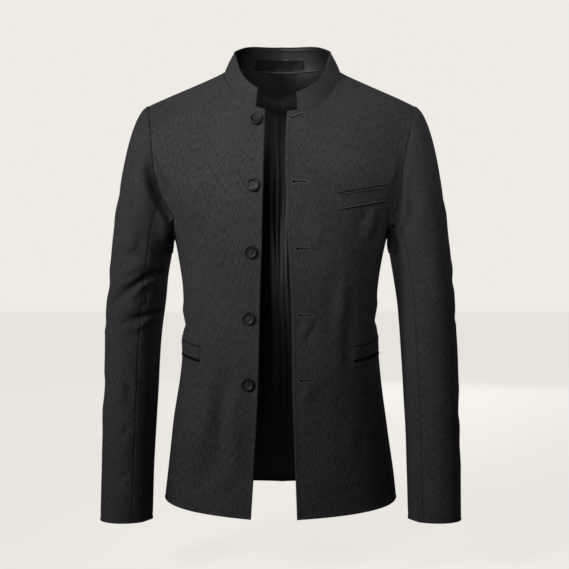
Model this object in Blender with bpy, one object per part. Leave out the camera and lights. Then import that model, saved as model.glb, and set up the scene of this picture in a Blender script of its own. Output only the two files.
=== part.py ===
"""A mao jacket, hollow and held open as worn: lined body panels, two-piece sleeves, stand collar.

Millimetres throughout, made metres when a mesh is stored. Z is up, the fronts face -Y, and the
wearer's right is -X. The origin is the middle of the shoulders, level with the neck points.
"""

import math
from typing import NamedTuple

import bmesh
import bpy
import numpy as np
from mathutils import Vector

# Driving dimensions
MM = 0.001
HEM_Z = -690.0
UNDERARM_Z = -262.0
SIDE_DEPTH = 5.0
ROUNDNESS = 0.86
CLOTH = 2.2
LINING = 1.0
LINING_EASE = 1.5
SEAM_GAP = 0.5
COLLAR_GAP = 0.7
NECK_HALF_WIDTH = 94.0
NECK_MIDDLE = -15.0
NECK_HALF_DEPTH = 85.0
COLLAR_WALL = 3.0
HEM_SIDE_RISE = 8.0
SIDE_TOP_RISE = 24.0
LAID_LIFT = 0.8
WELT = 1.4
HIP_WELT_LOW = -457.0
HIP_WELT_HIGH = -438.0
HIP_WELT_END_ANGLE = 97.0
HIP_WELT_START_RIGHT = 49.0
HIP_WELT_START_LEFT = 41.0
COLLAR_RIGHT_END = -154.5
COLLAR_LEFT_END = 165.8
COLLAR_CURL = 1.3
LABEL = 0.6
LABEL_LOW = 0.12
LABEL_HIGH = 0.54
LABEL_FROM = -49.0
LABEL_TO = 24.0
TAG_FROM = 25.0
TAG_TO = 38.0
LABEL_STEPS = 9
TAG_STEPS = 5
BUTTON_RADIUS = 10.0
BUTTON_THICKNESS = 3.4
BUTTON_SEGMENTS = 20
BUTTON_CLEARANCE = 0.3
BUTTON_REACH = 6.0
CAP_ROUND_NEAR = 0.47
CAP_ROUND_FAR = 0.95
SHOULDER_POINT_Z = -54.0
SHOULDER_POINT_Y = -4.0
SHOULDER_ARC = 30.0
RIGHT = -1
LEFT = 1

# Grid counts
ACROSS = 11
SIDE_ACROSS = 5
ROWS_BELOW = 13
ROWS_ABOVE = 11
FRONT_EDGE_ROWS = 6
BACK_EDGE_ROWS = 7
CAP_RINGS = 7
SLEEVE_RINGS = 12
FRONT_SEAM_STEP = 2
HIND_SEAM_STEP = 20

# Seam angles round the body, from centre front to centre back
FRONT_SEAM_ANGLE = 66.0
BACK_SEAM_ANGLE = 114.0


class Section(NamedTuple):
    """Level section of the body: half widths to each side, and depths to front and back."""

    z: float
    right: float
    left: float
    front: float
    back: float


class Opening(NamedTuple):
    """How far each front edge stands from the middle at a height."""

    z: float
    right: float
    left: float


class NeckStation(NamedTuple):
    """Height of the neck seam, and height and inward lean of the collar, at an angle from centre back."""

    angle: float
    z: float
    stand: float
    lean: float


class ArmholeStation(NamedTuple):
    """A point of the armhole seam above the underarm, with its distance out on each side."""

    z: float
    y: float
    right: float
    left: float
    arc: float


class SleeveSection(NamedTuple):
    """Ring of a sleeve: inner and outer reach on each side, its middle and half depth."""

    z: float
    right_in: float
    right_out: float
    left_in: float
    left_out: float
    middle: float
    half_depth: float
    tilt: float


BODY = (
    Section(-690, 190, 184, 128, 127),
    Section(-640, 185, 179, 127, 125),
    Section(-562, 176, 168, 124, 121),
    Section(-484, 165, 158, 119, 114),
    Section(-406, 160, 152, 115, 108),
    Section(-328, 163, 156, 118, 112),
    Section(-290, 169, 163, 121, 119),
    Section(-262, 175, 170, 123, 124),
    Section(-238, 184, 179, 125, 127),
    Section(-190, 196, 190, 127, 131),
    Section(-150, 196, 190, 124, 129),
    Section(-110, 196, 190, 114, 123),
    Section(-74, 196, 190, 98, 113),
    Section(-30, 196, 190, 70, 95),
    Section(16, 196, 190, 60, 70),
)

OPENING = (
    Opening(-690, 47, 21.6),
    Opening(-520, 37, 15.7),
    Opening(-355, 33, 12.4),
    Opening(-257, 30, 7.4),
    Opening(-117, 27.4, 5.0),
    Opening(-74, 26.6, 6.8),
)

NECK = (
    NeckStation(0, 16, 44, 9),
    NeckStation(55, 11, 43, 14),
    NeckStation(90, -3, 41, 17),
    NeckStation(114, -26, 41, 16),
    NeckStation(124, -41, 40, 14),
    NeckStation(136, -54, 38, 11),
    NeckStation(146, -63, 36, 9),
    NeckStation(155, -68.5, 34, 8),
    NeckStation(164, -73.5, 33, 7),
    NeckStation(176, -77, 33, 7),
)

ARMHOLE_FRONT = (
    ArmholeStation(-205, -60, 190, 178, 58),
    ArmholeStation(-165, -65, 200, 187, 52),
    ArmholeStation(-125, -59, 204, 195, 44),
    ArmholeStation(-85, -38, 210, 205, 36),
    ArmholeStation(SHOULDER_POINT_Z, SHOULDER_POINT_Y, 216, 213, SHOULDER_ARC),
)

ARMHOLE_BACK = (
    ArmholeStation(-205, 70, 190, 180, 58),
    ArmholeStation(-165, 75, 200, 188, 52),
    ArmholeStation(-125, 68, 204, 196, 46),
    ArmholeStation(-85, 42, 210, 205, 38),
    ArmholeStation(SHOULDER_POINT_Z, SHOULDER_POINT_Y, 216, 213, SHOULDER_ARC),
)

SLEEVE = (
    SleeveSection(-292, 180, 276, 174, 271, 2, 71, 0.00),
    SleeveSection(-328, 186, 279, 180, 275, 1, 67, 0.02),
    SleeveSection(-367, 189, 282, 185, 277, -2, 63, 0.04),
    SleeveSection(-406, 193, 284, 188, 278, -6, 60, 0.07),
    SleeveSection(-445, 196, 284, 190, 280, -11, 57, 0.09),
    SleeveSection(-523, 199, 285, 194, 281, -22, 53, 0.11),
    SleeveSection(-600, 202, 285, 196, 281, -32, 49, 0.12),
    SleeveSection(-710, 205, 286, 198, 281, -45, 46, 0.10),
)

CLOTH_COLOUR = (0.030, 0.031, 0.033, 1.0)
LINING_COLOUR = (0.010, 0.010, 0.012, 1.0)
BUTTON_COLOUR = (0.012, 0.012, 0.013, 1.0)
BUTTON_PLACES = ((39.3, -91), (43.7, -191), (47.4, -291), (51.0, -391), (52.8, -490))


def smooth(at, stations, values):
    """Reads a table at any place along it on a smooth curve through its rows."""
    stations = np.asarray(stations, float)
    values = np.asarray(values, float)
    at = np.clip(np.asarray(at, float), stations[0], stations[-1])
    slopes = np.gradient(values, stations)
    i = np.clip(np.searchsorted(stations, at, side="right") - 1, 0, len(stations) - 2)
    span = stations[i + 1] - stations[i]
    t = (at - stations[i]) / span
    near = (1 + 2 * t) * (1 - t) ** 2 * values[i] + t * (1 - t) ** 2 * span * slopes[i]
    far = t**2 * (3 - 2 * t) * values[i + 1] + t**2 * (t - 1) * span * slopes[i + 1]
    return near + far


def column(table, name, at, key="z"):
    """One named column of a table, read at heights or angles."""
    stations = [getattr(row, key) for row in table]
    return smooth(at, stations, [getattr(row, name) for row in table])


def of_side(side):
    """The table column that belongs to a side."""
    return "right" if side == RIGHT else "left"


def body(side, angle, z):
    """Point of the body's outer cloth at an angle from centre front and a height."""
    half = column(BODY, of_side(side), z)
    across = np.sin(np.radians(angle)) ** ROUNDNESS
    along = np.abs(np.cos(np.radians(angle))) ** ROUNDNESS
    front = SIDE_DEPTH - (column(BODY, "front", z) + SIDE_DEPTH) * along
    back = SIDE_DEPTH + (column(BODY, "back", z) - SIDE_DEPTH) * along
    y = np.where(np.asarray(angle) <= 90, front, back)
    return np.stack(np.broadcast_arrays(side * half * across, y, z), axis=-1)


def front_edge(side, z):
    """Point of a front's opening edge at a height."""
    x = column(OPENING, of_side(side), z)
    angle = edge_angle(side, z)
    y = SIDE_DEPTH - (column(BODY, "front", z) + SIDE_DEPTH) * np.cos(np.radians(angle)) ** ROUNDNESS
    return np.array([side * x, y, z])


def edge_angle(side, z):
    """Angle from centre front of a front's opening edge."""
    share = column(OPENING, of_side(side), z) / column(BODY, of_side(side), z)
    return math.degrees(math.asin(float(share) ** (1 / ROUNDNESS)))


def neck(side, angle):
    """Point of the neck seam at an angle from centre back."""
    turn = math.radians(angle)
    x = side * NECK_HALF_WIDTH * math.sin(turn)
    y = NECK_MIDDLE + NECK_HALF_DEPTH * math.cos(turn)
    return np.array([x, y, float(column(NECK, "z", angle, "angle"))])


def neck_end_angle(side):
    """Angle from centre back where the neck seam meets the front edge."""
    reach = OPENING[-1].right if side == RIGHT else OPENING[-1].left
    return 180 - math.degrees(math.asin(reach / NECK_HALF_WIDTH))


def side_top(angle):
    """Height of the side panel's top edge, lowest under the arm."""
    reach = (np.asarray(angle, float) - 90) / (90 - FRONT_SEAM_ANGLE)
    return UNDERARM_Z + SIDE_TOP_RISE * reach**2


def hem(angle):
    """Height of the hem, a little higher at the sides."""
    return HEM_Z + HEM_SIDE_RISE * np.sin(np.radians(angle)) ** 2


def armhole(side, stations, seam_angle):
    """Points of half an armhole, from its side panel seam up to the shoulder point, and the arcs."""
    start = body(side, seam_angle, float(side_top(seam_angle)))
    outs = [row.right if side == RIGHT else row.left for row in stations]
    points = np.array([start] + [[side * out, row.y, row.z] for row, out in zip(stations, outs)])
    arcs = [FRONT_SEAM_ANGLE] + [row.arc for row in stations]
    lengths = np.concatenate([[0], np.cumsum(np.linalg.norm(np.diff(points, axis=0), axis=1))])
    at = np.linspace(0, lengths[-1], ROWS_ABOVE + 1)
    curve = np.stack([smooth(at, lengths, points[:, axis]) for axis in range(3)], axis=-1)
    return curve, smooth(at, lengths, arcs)


def row_between(inner, outer, from_angle, to_angle):
    """Points along one cross row, bowed as the body's round section is between two angles."""
    angles = np.radians(np.linspace(from_angle, to_angle, ACROSS + 1))
    across = np.sin(angles) ** ROUNDNESS
    along = np.cos(angles) ** ROUNDNESS
    across = (across - across[0]) / (across[-1] - across[0])
    along = (along - along[0]) / (along[-1] - along[0])
    shares = np.stack([across, along, across], axis=-1)
    return inner + (outer - inner) * shares


def shoulder_row(side):
    """Points of the shoulder seam, from the neck point out to the shoulder point."""
    tip = ARMHOLE_FRONT[-1]
    reach = tip.right if side == RIGHT else tip.left
    return row_between(neck(side, 90), np.array([side * reach, tip.y, tip.z]), 0, SHOULDER_ARC)


def front_panel(side):
    """Grid of a front, from hem to shoulder seam and from opening edge to side panel or armhole."""
    top = float(side_top(FRONT_SEAM_ANGLE))
    rows = []
    for share in np.linspace(0, 1, ROWS_BELOW + 1):
        inner = front_edge(side, HEM_Z + (UNDERARM_Z - HEM_Z) * share)
        outer = body(side, FRONT_SEAM_ANGLE, hem(FRONT_SEAM_ANGLE) * (1 - share) + top * share)
        rows.append(row_between(inner, outer, edge_angle(side, inner[2]), FRONT_SEAM_ANGLE))
    curve, arcs = armhole(side, ARMHOLE_FRONT, FRONT_SEAM_ANGLE)
    corner = neck_end_angle(side)
    for step in range(1, ROWS_ABOVE + 1):
        if step <= FRONT_EDGE_ROWS:
            height = UNDERARM_Z + (OPENING[-1].z - UNDERARM_Z) * step / FRONT_EDGE_ROWS
            inner = front_edge(side, height)
            if step == FRONT_EDGE_ROWS:
                inner = neck(side, corner)
            start = edge_angle(side, height)
        else:
            share = (step - FRONT_EDGE_ROWS) / (ROWS_ABOVE - FRONT_EDGE_ROWS)
            inner = neck(side, corner + (90 - corner) * share)
            start = edge_angle(side, OPENING[-1].z)
        rows.append(row_between(inner, curve[step], start, arcs[step]))
    rows[-1] = shoulder_row(side)
    return np.array(rows)


def back_panel(side):
    """Grid of half the back, from hem to shoulder seam and from centre back out."""
    top = float(side_top(BACK_SEAM_ANGLE))
    rows = []
    for share in np.linspace(0, 1, ROWS_BELOW + 1):
        inner = body(side, 180.0, HEM_Z + (UNDERARM_Z - HEM_Z) * share)
        outer = body(side, BACK_SEAM_ANGLE, hem(BACK_SEAM_ANGLE) * (1 - share) + top * share)
        rows.append(row_between(inner, outer, 0, 180 - BACK_SEAM_ANGLE))
    curve, arcs = armhole(side, ARMHOLE_BACK, BACK_SEAM_ANGLE)
    for step in range(1, ROWS_ABOVE + 1):
        if step <= BACK_EDGE_ROWS:
            height = UNDERARM_Z + (NECK[0].z - UNDERARM_Z) * step / BACK_EDGE_ROWS
            inner = body(side, 180.0, height)
        else:
            share = (step - BACK_EDGE_ROWS) / (ROWS_ABOVE - BACK_EDGE_ROWS)
            inner = neck(side, 90 * share)
        rows.append(row_between(inner, curve[step], 0, arcs[step]))
    rows[-1] = shoulder_row(side)
    grid = np.array(rows)
    grid[: ROWS_BELOW + BACK_EDGE_ROWS + 1, 0, 0] = 0.0
    return grid


def side_panel(side):
    """Grid of the side panel, from its front seam to its back seam."""
    angles = np.linspace(FRONT_SEAM_ANGLE, BACK_SEAM_ANGLE, SIDE_ACROSS + 1)
    rows = []
    for share in np.linspace(0, 1, ROWS_BELOW + 1):
        heights = hem(angles) * (1 - share) + side_top(angles) * share
        rows.append(body(side, angles, heights))
    return np.array(rows)


def sleeve_ring(side, z, turns):
    """Ring of a sleeve below the underarm; turn 0 is its outer edge and 90 its front."""
    name = of_side(side)
    inner = column(SLEEVE[::-1], name + "_in", z)
    outer = column(SLEEVE[::-1], name + "_out", z)
    depth = column(SLEEVE[::-1], "half_depth", z)
    middle = column(SLEEVE[::-1], "middle", z)
    tilt = column(SLEEVE[::-1], "tilt", z)
    turn = np.radians(turns)
    x = (inner + outer) / 2 + (outer - inner) / 2 * np.cos(turn)
    sway = -depth * np.sin(turn)
    return np.stack([side * x, middle + sway, z - tilt * sway], axis=-1)


def cap_directions(side, turns):
    """Directions in which the sleeve cap leaves the armhole: outwards on top, downwards below."""
    topness = (1 + np.cos(np.radians(turns))) / 2
    sway = -0.25 * np.sin(np.radians(turns))
    leave = np.stack([side * (0.45 + 0.5 * topness), sway, -0.9 + 0.5 * topness], axis=-1)
    return leave / np.linalg.norm(leave, axis=1, keepdims=True)


def sleeve_grid(side, front, back, side_piece):
    """Rings of a sleeve, from the armhole seam to the cuff, and the armhole's points first."""
    front_half, back_half = front[ROWS_BELOW:, -1], back[ROWS_BELOW:-1, -1][::-1]
    loop = np.concatenate([front_half, back_half, side_piece[-1, 1:-1][::-1]])
    steps = np.linalg.norm(np.roll(loop, -1, axis=0) - loop, axis=1)
    under = 2 * ROWS_ABOVE + SIDE_ACROSS / 2
    lengths = np.concatenate([[0], np.cumsum(steps)])
    under_at = np.interp(under, np.arange(len(lengths)), lengths)
    stops = [under_at - lengths[-1], lengths[ROWS_ABOVE], under_at]
    turns = np.interp(lengths[:-1], stops, [180, 0, -180])
    first = sleeve_ring(side, SLEEVE[0].z, turns)
    lower = sleeve_ring(side, SLEEVE[0].z - 1, turns)
    down = (lower - first) / np.linalg.norm(lower - first, axis=1, keepdims=True)
    leave = cap_directions(side, turns)
    chord = np.linalg.norm(first - loop, axis=1, keepdims=True)
    rings = []
    for t in np.linspace(0, 1, CAP_RINGS + 1):
        near = (1 + 2 * t) * (1 - t) ** 2 * loop + t * (1 - t) ** 2 * chord * CAP_ROUND_NEAR * leave
        far = t**2 * (3 - 2 * t) * first + t**2 * (t - 1) * chord * CAP_ROUND_FAR * down
        rings.append(near + far)
    for height in np.linspace(SLEEVE[0].z, SLEEVE[-1].z, SLEEVE_RINGS + 1)[1:]:
        rings.append(sleeve_ring(side, height, turns))
    return np.array(rings)


def grid_normals(grid, outward):
    """Unit normals of a grid, turned to point along outward on the whole."""
    along = np.gradient(grid, axis=0)
    across = np.gradient(grid, axis=1)
    normals = np.cross(along, across)
    normals /= np.maximum(np.linalg.norm(normals, axis=2, keepdims=True), 1e-9)
    return normals if np.sum(normals * outward) > 0 else -normals


def share_normals(panels):
    """Gives points that panels share at a seam one common normal."""
    sums = {}
    for grid, normals in panels:
        for point, normal in zip(grid.reshape(-1, 3), normals.reshape(-1, 3)):
            key = tuple(np.round(point, 2))
            sums[key] = sums.get(key, 0) + normal
    shared = []
    for grid, _ in panels:
        found = np.array([sums[tuple(np.round(point, 2))] for point in grid.reshape(-1, 3)])
        found /= np.linalg.norm(found, axis=1, keepdims=True)
        shared.append(found.reshape(grid.shape))
    return shared


def draw_in(grid, amount):
    """Moves the four edges of a grid in along its rows, which leaves a gap at every seam."""
    moved = grid.copy()
    for edge, inner in ((0, 1), (-1, -2)):
        step = grid[inner] - grid[edge]
        moved[edge] += amount * step / np.linalg.norm(step, axis=1, keepdims=True)
    for edge, inner in ((0, 1), (-1, -2)):
        step = grid[:, inner] - grid[:, edge]
        moved[:, edge] += amount * step / np.linalg.norm(step, axis=1, keepdims=True)
    return moved


def wall_mesh(name, outer, inner):
    """Closed wall between two like grids."""
    rows, columns = outer.shape[:2]
    mesh = bpy.data.meshes.new(name)
    work = bmesh.new()
    skin = [[work.verts.new(MM * point) for point in row] for row in outer]
    back = [[work.verts.new(MM * point) for point in row] for row in inner]
    for i in range(rows - 1):
        for j in range(columns - 1):
            work.faces.new((skin[i][j], skin[i][j + 1], skin[i + 1][j + 1], skin[i + 1][j]))
            work.faces.new((back[i][j], back[i + 1][j], back[i + 1][j + 1], back[i][j + 1]))
    rim = [(0, j) for j in range(columns)]
    rim += [(i, columns - 1) for i in range(1, rows)]
    rim += [(rows - 1, j) for j in range(columns - 2, -1, -1)]
    rim += [(i, 0) for i in range(rows - 2, 0, -1)]
    for (a, b), (c, d) in zip(rim, rim[1:] + rim[:1]):
        work.faces.new((skin[c][d], skin[a][b], back[a][b], back[c][d]))
    bmesh.ops.recalc_face_normals(work, faces=work.faces)
    work.to_mesh(mesh)
    work.free()
    return mesh


def material(name, colour, roughness, coat=0.0):
    """A plain finish for one piece."""
    finish = bpy.data.materials.new(name)
    finish.use_nodes = True
    shader = finish.node_tree.nodes["Principled BSDF"]
    shader.inputs["Base Color"].default_value = colour
    shader.inputs["Roughness"].default_value = roughness
    shader.inputs["Coat Weight"].default_value = coat
    return finish


def add_piece(name, mesh, finish):
    """Adds one named object with its finish to the scene."""
    mesh.materials.append(finish)
    mesh.shade_smooth()
    mesh.set_sharp_from_angle(angle=math.radians(40))
    piece = bpy.data.objects.new(name, mesh)
    bpy.context.scene.collection.objects.link(piece)
    return piece


def add_wall(name, grid, normals, finish, thickness=CLOTH, lift=0.0):
    """Adds a piece as a wall that lies lift out from a grid and goes in by its thickness."""
    drawn = draw_in(grid, SEAM_GAP / 2)
    mesh = wall_mesh(name, drawn + lift * normals, drawn + (lift - thickness) * normals)
    return add_piece(name, mesh, finish)


def depth_on(grid, x, z):
    """Depth of a panel's faceted skin at a place seen from the front."""
    for i in range(grid.shape[0] - 1):
        for j in range(grid.shape[1] - 1):
            corners = (grid[i, j], grid[i, j + 1], grid[i + 1, j + 1], grid[i + 1, j])
            for three in (corners[:3], (corners[0], corners[2], corners[3])):
                flat = np.array([[p[0], p[2], 1.0] for p in three]).T
                if abs(np.linalg.det(flat)) < 1e-9:
                    continue
                shares = np.linalg.solve(flat, [x, z, 1.0])
                if shares.min() >= -1e-6:
                    return float(np.dot(shares, [p[1] for p in three]))
    raise ValueError("no cloth at this place")


def add_breast_welt(front):
    """The breast pocket's welt, a slanted band on the wearer's left chest."""
    low_in, low_out, high_in, high_out = (85, -227), (158, -212), (82, -204), (161, -189)
    rows = []
    for up in np.linspace(0, 1, 3):
        start = np.array(low_in) * (1 - up) + np.array(high_in) * up
        end = np.array(low_out) * (1 - up) + np.array(high_out) * up
        places = [start + (end - start) * share for share in np.linspace(0, 1, 8)]
        rows.append([[x, depth_on(front, x, z), z] for x, z in places])
    grid = np.array(rows)
    normals = grid_normals(grid, np.array([0, -1.0, 0]))
    finish = material("breast_welt_cloth", CLOTH_COLOUR, 0.85)
    add_wall("breast_welt", grid, normals, finish, WELT, LAID_LIFT + WELT)


def add_hip_welt(side, start_angle, name):
    """A hip pocket's welt, a level band that runs round from the front on to the side."""
    angles = np.linspace(start_angle, HIP_WELT_END_ANGLE, 10)
    heights = np.linspace(HIP_WELT_LOW, HIP_WELT_HIGH, 3)
    grid = np.array([body(side, angles, np.full(len(angles), z)) for z in heights])
    normals = grid_normals(grid, np.array([side * 1.0, -0.3, 0]))
    finish = material(name + "_cloth", CLOTH_COLOUR, 0.85)
    add_wall(name, grid, normals, finish, WELT, LAID_LIFT + WELT)


def turned_mesh(name, profile):
    """Closed mesh of rings of radius and height round the Y axis."""
    work = bmesh.new()
    turns = np.linspace(0, 2 * math.pi, BUTTON_SEGMENTS, endpoint=False)
    rings = []
    for radius, height in profile:
        points = [(radius * math.cos(turn), height, radius * math.sin(turn)) for turn in turns]
        rings.append([work.verts.new(MM * np.array(point)) for point in points])
    for low, high in zip(rings, rings[1:]):
        for k in range(BUTTON_SEGMENTS):
            ahead = (k + 1) % BUTTON_SEGMENTS
            work.faces.new((low[k], low[ahead], high[ahead], high[k]))
    work.faces.new(rings[0])
    work.faces.new(rings[-1])
    bmesh.ops.recalc_face_normals(work, faces=work.faces)
    mesh = bpy.data.meshes.new(name)
    work.to_mesh(mesh)
    work.free()
    return mesh


def add_button(number, front, x, z):
    """A sew-through button, dished inside a raised rim, standing on a short thread shank."""
    profile = (
        (1.5, -0.3),
        (1.5, -1.6),
        (BUTTON_RADIUS - 1.6, -1.6),
        (BUTTON_RADIUS, -2.8),
        (BUTTON_RADIUS - 0.8, -1.6 - BUTTON_THICKNESS),
        (BUTTON_RADIUS - 2.6, -1.2 - BUTTON_THICKNESS),
        (BUTTON_RADIUS - 3.8, -0.4 - BUTTON_THICKNESS),
    )
    name = f"button_{number}"
    middle = np.array([x, depth_on(front, x, z), z])
    beside, above = x + BUTTON_REACH, z + BUTTON_REACH
    right = np.array([beside, depth_on(front, beside, z), z])
    above = np.array([x, depth_on(front, x, above), above])
    finish = material(name + "_gloss", BUTTON_COLOUR, 0.18, 0.6)
    piece = add_piece(name, turned_mesh(name, profile), finish)
    out = -np.cross(right - middle, above - middle)
    out /= np.linalg.norm(out)
    out *= -1 if out[1] > 0 else 1
    piece.location = MM * (middle + BUTTON_CLEARANCE * out)
    piece.rotation_euler = Vector(out).to_track_quat("-Y", "Z").to_euler()


def collar_point(angle, share):
    """Point of the collar at a signed angle from centre back and a share of its height."""
    side = RIGHT if angle < 0 else LEFT
    base = neck(side, abs(angle))
    stand = float(column(NECK, "stand", abs(angle), "angle"))
    lean = float(column(NECK, "lean", abs(angle), "angle"))
    out = np.array([base[0] / NECK_HALF_WIDTH, (base[1] - NECK_MIDDLE) / NECK_HALF_DEPTH, 0])
    out /= np.linalg.norm(out)
    rise = COLLAR_GAP + stand * share
    return base + np.array([0, 0, rise]) - lean * share**COLLAR_CURL * out, out


def collar_grid(angles, shares):
    """Grid of collar points and their outward normals."""
    made = [[collar_point(angle, share) for angle in angles] for share in shares]
    points = np.array([[point for point, _ in row] for row in made])
    normals = np.array([[out for _, out in row] for row in made])
    return points, normals


def add_collar():
    """The stand collar, from the wearer's right end round the back to the left end."""
    right_half, left_half = np.linspace(COLLAR_RIGHT_END, 0, 19), np.linspace(0, COLLAR_LEFT_END, 20)
    angles = np.concatenate([right_half, left_half[1:]])
    points, normals = collar_grid(angles, np.linspace(0, 1, 4))
    add_wall("collar", points, normals, material("collar_cloth", CLOTH_COLOUR, 0.85), COLLAR_WALL)


def add_neck_label(name, from_x, to_x, steps):
    """A bare woven label on the inner face of the collar, below its top edge."""
    angles = np.degrees(np.arcsin(np.linspace(from_x, to_x, steps) / NECK_HALF_WIDTH))
    points, normals = collar_grid(angles, np.linspace(LABEL_LOW, LABEL_HIGH, 3))
    finish = material(name + "_satin", LINING_COLOUR, 0.3)
    add_wall(name, points, normals, finish, LABEL, -COLLAR_WALL - LAID_LIFT)


def add_lining(name, grid, normals):
    """Half the back lining, which shows in the opening, loose inside the back cloth."""
    nape = ROWS_BELOW + BACK_EDGE_ROWS
    rows = list(range(0, ROWS_BELOW, 2)) + list(range(ROWS_BELOW, nape + 1))
    finish = material(name + "_satin", LINING_COLOUR, 0.35)
    add_wall(name, grid[rows, :ACROSS], normals[rows, :ACROSS], finish, LINING, -CLOTH - LINING_EASE)


def build_side(side):
    """All cloth panels of one side of the jacket."""
    word = of_side(side)
    front, back, flank = front_panel(side), back_panel(side), side_panel(side)
    rings = sleeve_grid(side, front, back, flank)
    ring = np.concatenate([rings, rings[:, :1]], axis=1)
    centre = ring.mean(axis=1, keepdims=True)
    panels = [
        (front, grid_normals(front, np.array([0, -1.0, 0]))),
        (back, grid_normals(back, np.array([0, 1.0, 0]))),
        (flank, grid_normals(flank, np.array([side * 1.0, 0, 0]))),
        (ring, grid_normals(ring, ring - centre)),
    ]
    normals = share_normals(panels)
    middle = normals[1][: ROWS_BELOW + BACK_EDGE_ROWS + 1, 0]
    middle[:, 0] = 0.0
    middle /= np.linalg.norm(middle, axis=1, keepdims=True)
    cloth = material(f"body_cloth_{word}", CLOTH_COLOUR, 0.85)
    add_wall(f"front_{word}", front, normals[0], cloth)
    add_wall(f"back_{word}", back, normals[1], cloth)
    add_wall(f"side_{word}", flank, normals[2], cloth)
    top = slice(FRONT_SEAM_STEP, HIND_SEAM_STEP + 1)
    add_wall(f"top_sleeve_{word}", ring[:, top], normals[3][:, top], cloth)
    count = ring.shape[1] - 1
    under = [k % count for k in range(HIND_SEAM_STEP, count + FRONT_SEAM_STEP + 1)]
    add_wall(f"under_sleeve_{word}", ring[:, under], normals[3][:, under], cloth)
    add_lining(f"back_lining_{word}", back, normals[1])
    return front


def main():
    """Builds the whole jacket."""
    for old in list(bpy.data.objects):
        bpy.data.objects.remove(old)
    front_right = build_side(RIGHT)
    front_left = build_side(LEFT)
    add_collar()
    add_neck_label("neck_label", LABEL_FROM, LABEL_TO, LABEL_STEPS)
    add_neck_label("size_tag", TAG_FROM, TAG_TO, TAG_STEPS)
    add_breast_welt(front_left)
    add_hip_welt(RIGHT, HIP_WELT_START_RIGHT, "hip_welt_right")
    add_hip_welt(LEFT, HIP_WELT_START_LEFT, "hip_welt_left")
    for number, (out, z) in enumerate(BUTTON_PLACES, start=1):
        add_button(number, front_right, -out, z)


main()
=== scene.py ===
"""Looks of the mao jacket: fine cloth shells with folds, seams, stitches, buttons and finishes.

The shells follow the same sizes as the solids. Sizes are millimetres and become metres in the meshes.
Z is up, the fronts face -Y, and the wearer's right is -X.
"""

from __future__ import annotations

import logging
import math
from collections.abc import Sequence
from dataclasses import dataclass, field
from enum import Enum
from typing import NamedTuple

import bmesh
import bpy
import numpy as np
from mathutils import Matrix, Vector
from mathutils.bvhtree import BVHTree


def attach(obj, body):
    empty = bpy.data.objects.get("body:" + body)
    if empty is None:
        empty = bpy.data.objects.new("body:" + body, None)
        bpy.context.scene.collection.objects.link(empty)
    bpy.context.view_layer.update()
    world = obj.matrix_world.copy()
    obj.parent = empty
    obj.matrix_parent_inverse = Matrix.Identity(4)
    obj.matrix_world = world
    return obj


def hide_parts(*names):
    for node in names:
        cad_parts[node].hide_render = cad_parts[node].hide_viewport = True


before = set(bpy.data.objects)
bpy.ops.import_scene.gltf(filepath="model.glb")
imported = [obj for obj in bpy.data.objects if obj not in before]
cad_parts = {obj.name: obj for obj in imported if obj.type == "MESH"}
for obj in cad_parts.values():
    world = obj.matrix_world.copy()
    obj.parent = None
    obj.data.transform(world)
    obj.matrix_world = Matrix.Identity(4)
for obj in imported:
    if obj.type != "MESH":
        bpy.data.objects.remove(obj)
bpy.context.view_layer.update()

LOG = logging.getLogger("mao_jacket")
MM = 0.001
ROOT = "root"
NECK_HALF_WIDTH = 94.0
NECK_MIDDLE = -15.0
NECK_HALF_DEPTH = 85.0
FOLD_DEPTH = 1.7
BODY_RADIUS = 150.0
BODY_MIDDLE_Y = 5.0
WEAVE_SPREAD = 30.0
WEAVE_DOWN = 0.8
WEAVE_BACKWARD = 0.6
NECK_CALM_REACH = 18.0
NECK_CALM_FLOOR = -95.0

Grid = np.ndarray
Triple = tuple[float, float, float]


class Side(Enum):
    """A side of the wearer, with its sign along X."""

    RIGHT = -1
    LEFT = 1

    @property
    def word(self) -> str:
        """The side's word in a piece's name."""
        return self.name.lower()


class Region(Enum):
    """A stretch of cloth that folds belong to."""

    BODY = "body"
    SLEEVE_RIGHT = "sleeve_right"
    SLEEVE_LEFT = "sleeve_left"
    COLLAR = "collar"
    LINING = "lining"


class Seen(Enum):
    """The side that a fold is drawn from: its direction, and the axis its first number runs along."""

    FRONT = (0, -1, 0)
    BACK = (0, 1, 0)
    RIGHT = (-1, 0, 0)
    LEFT = (1, 0, 0)


class Section(NamedTuple):
    """Level section of the body: half widths to each side, and depths to front and back."""

    z: float
    right: float
    left: float
    front: float
    back: float


class Opening(NamedTuple):
    """How far each front edge stands from the middle at a height."""

    z: float
    right: float
    left: float


class NeckStation(NamedTuple):
    """Height of the neck seam, and height and inward lean of the collar, at an angle from centre back."""

    angle: float
    z: float
    stand: float
    lean: float


class ArmholeStation(NamedTuple):
    """A point of the armhole seam above the underarm, with its distance out on each side."""

    z: float
    y: float
    right: float
    left: float
    arc: float


class SleeveSection(NamedTuple):
    """Ring of a sleeve: inner and outer reach on each side, its middle and half depth."""

    z: float
    right_in: float
    right_out: float
    left_in: float
    left_out: float
    middle: float
    half_depth: float
    tilt: float


class Fold(NamedTuple):
    """A soft trough (negative depth) or ridge along a path of (across, z) points seen from one side."""

    region: Region
    seen: Seen
    path: tuple[tuple[float, float], ...]
    width: float
    depth: float


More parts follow.
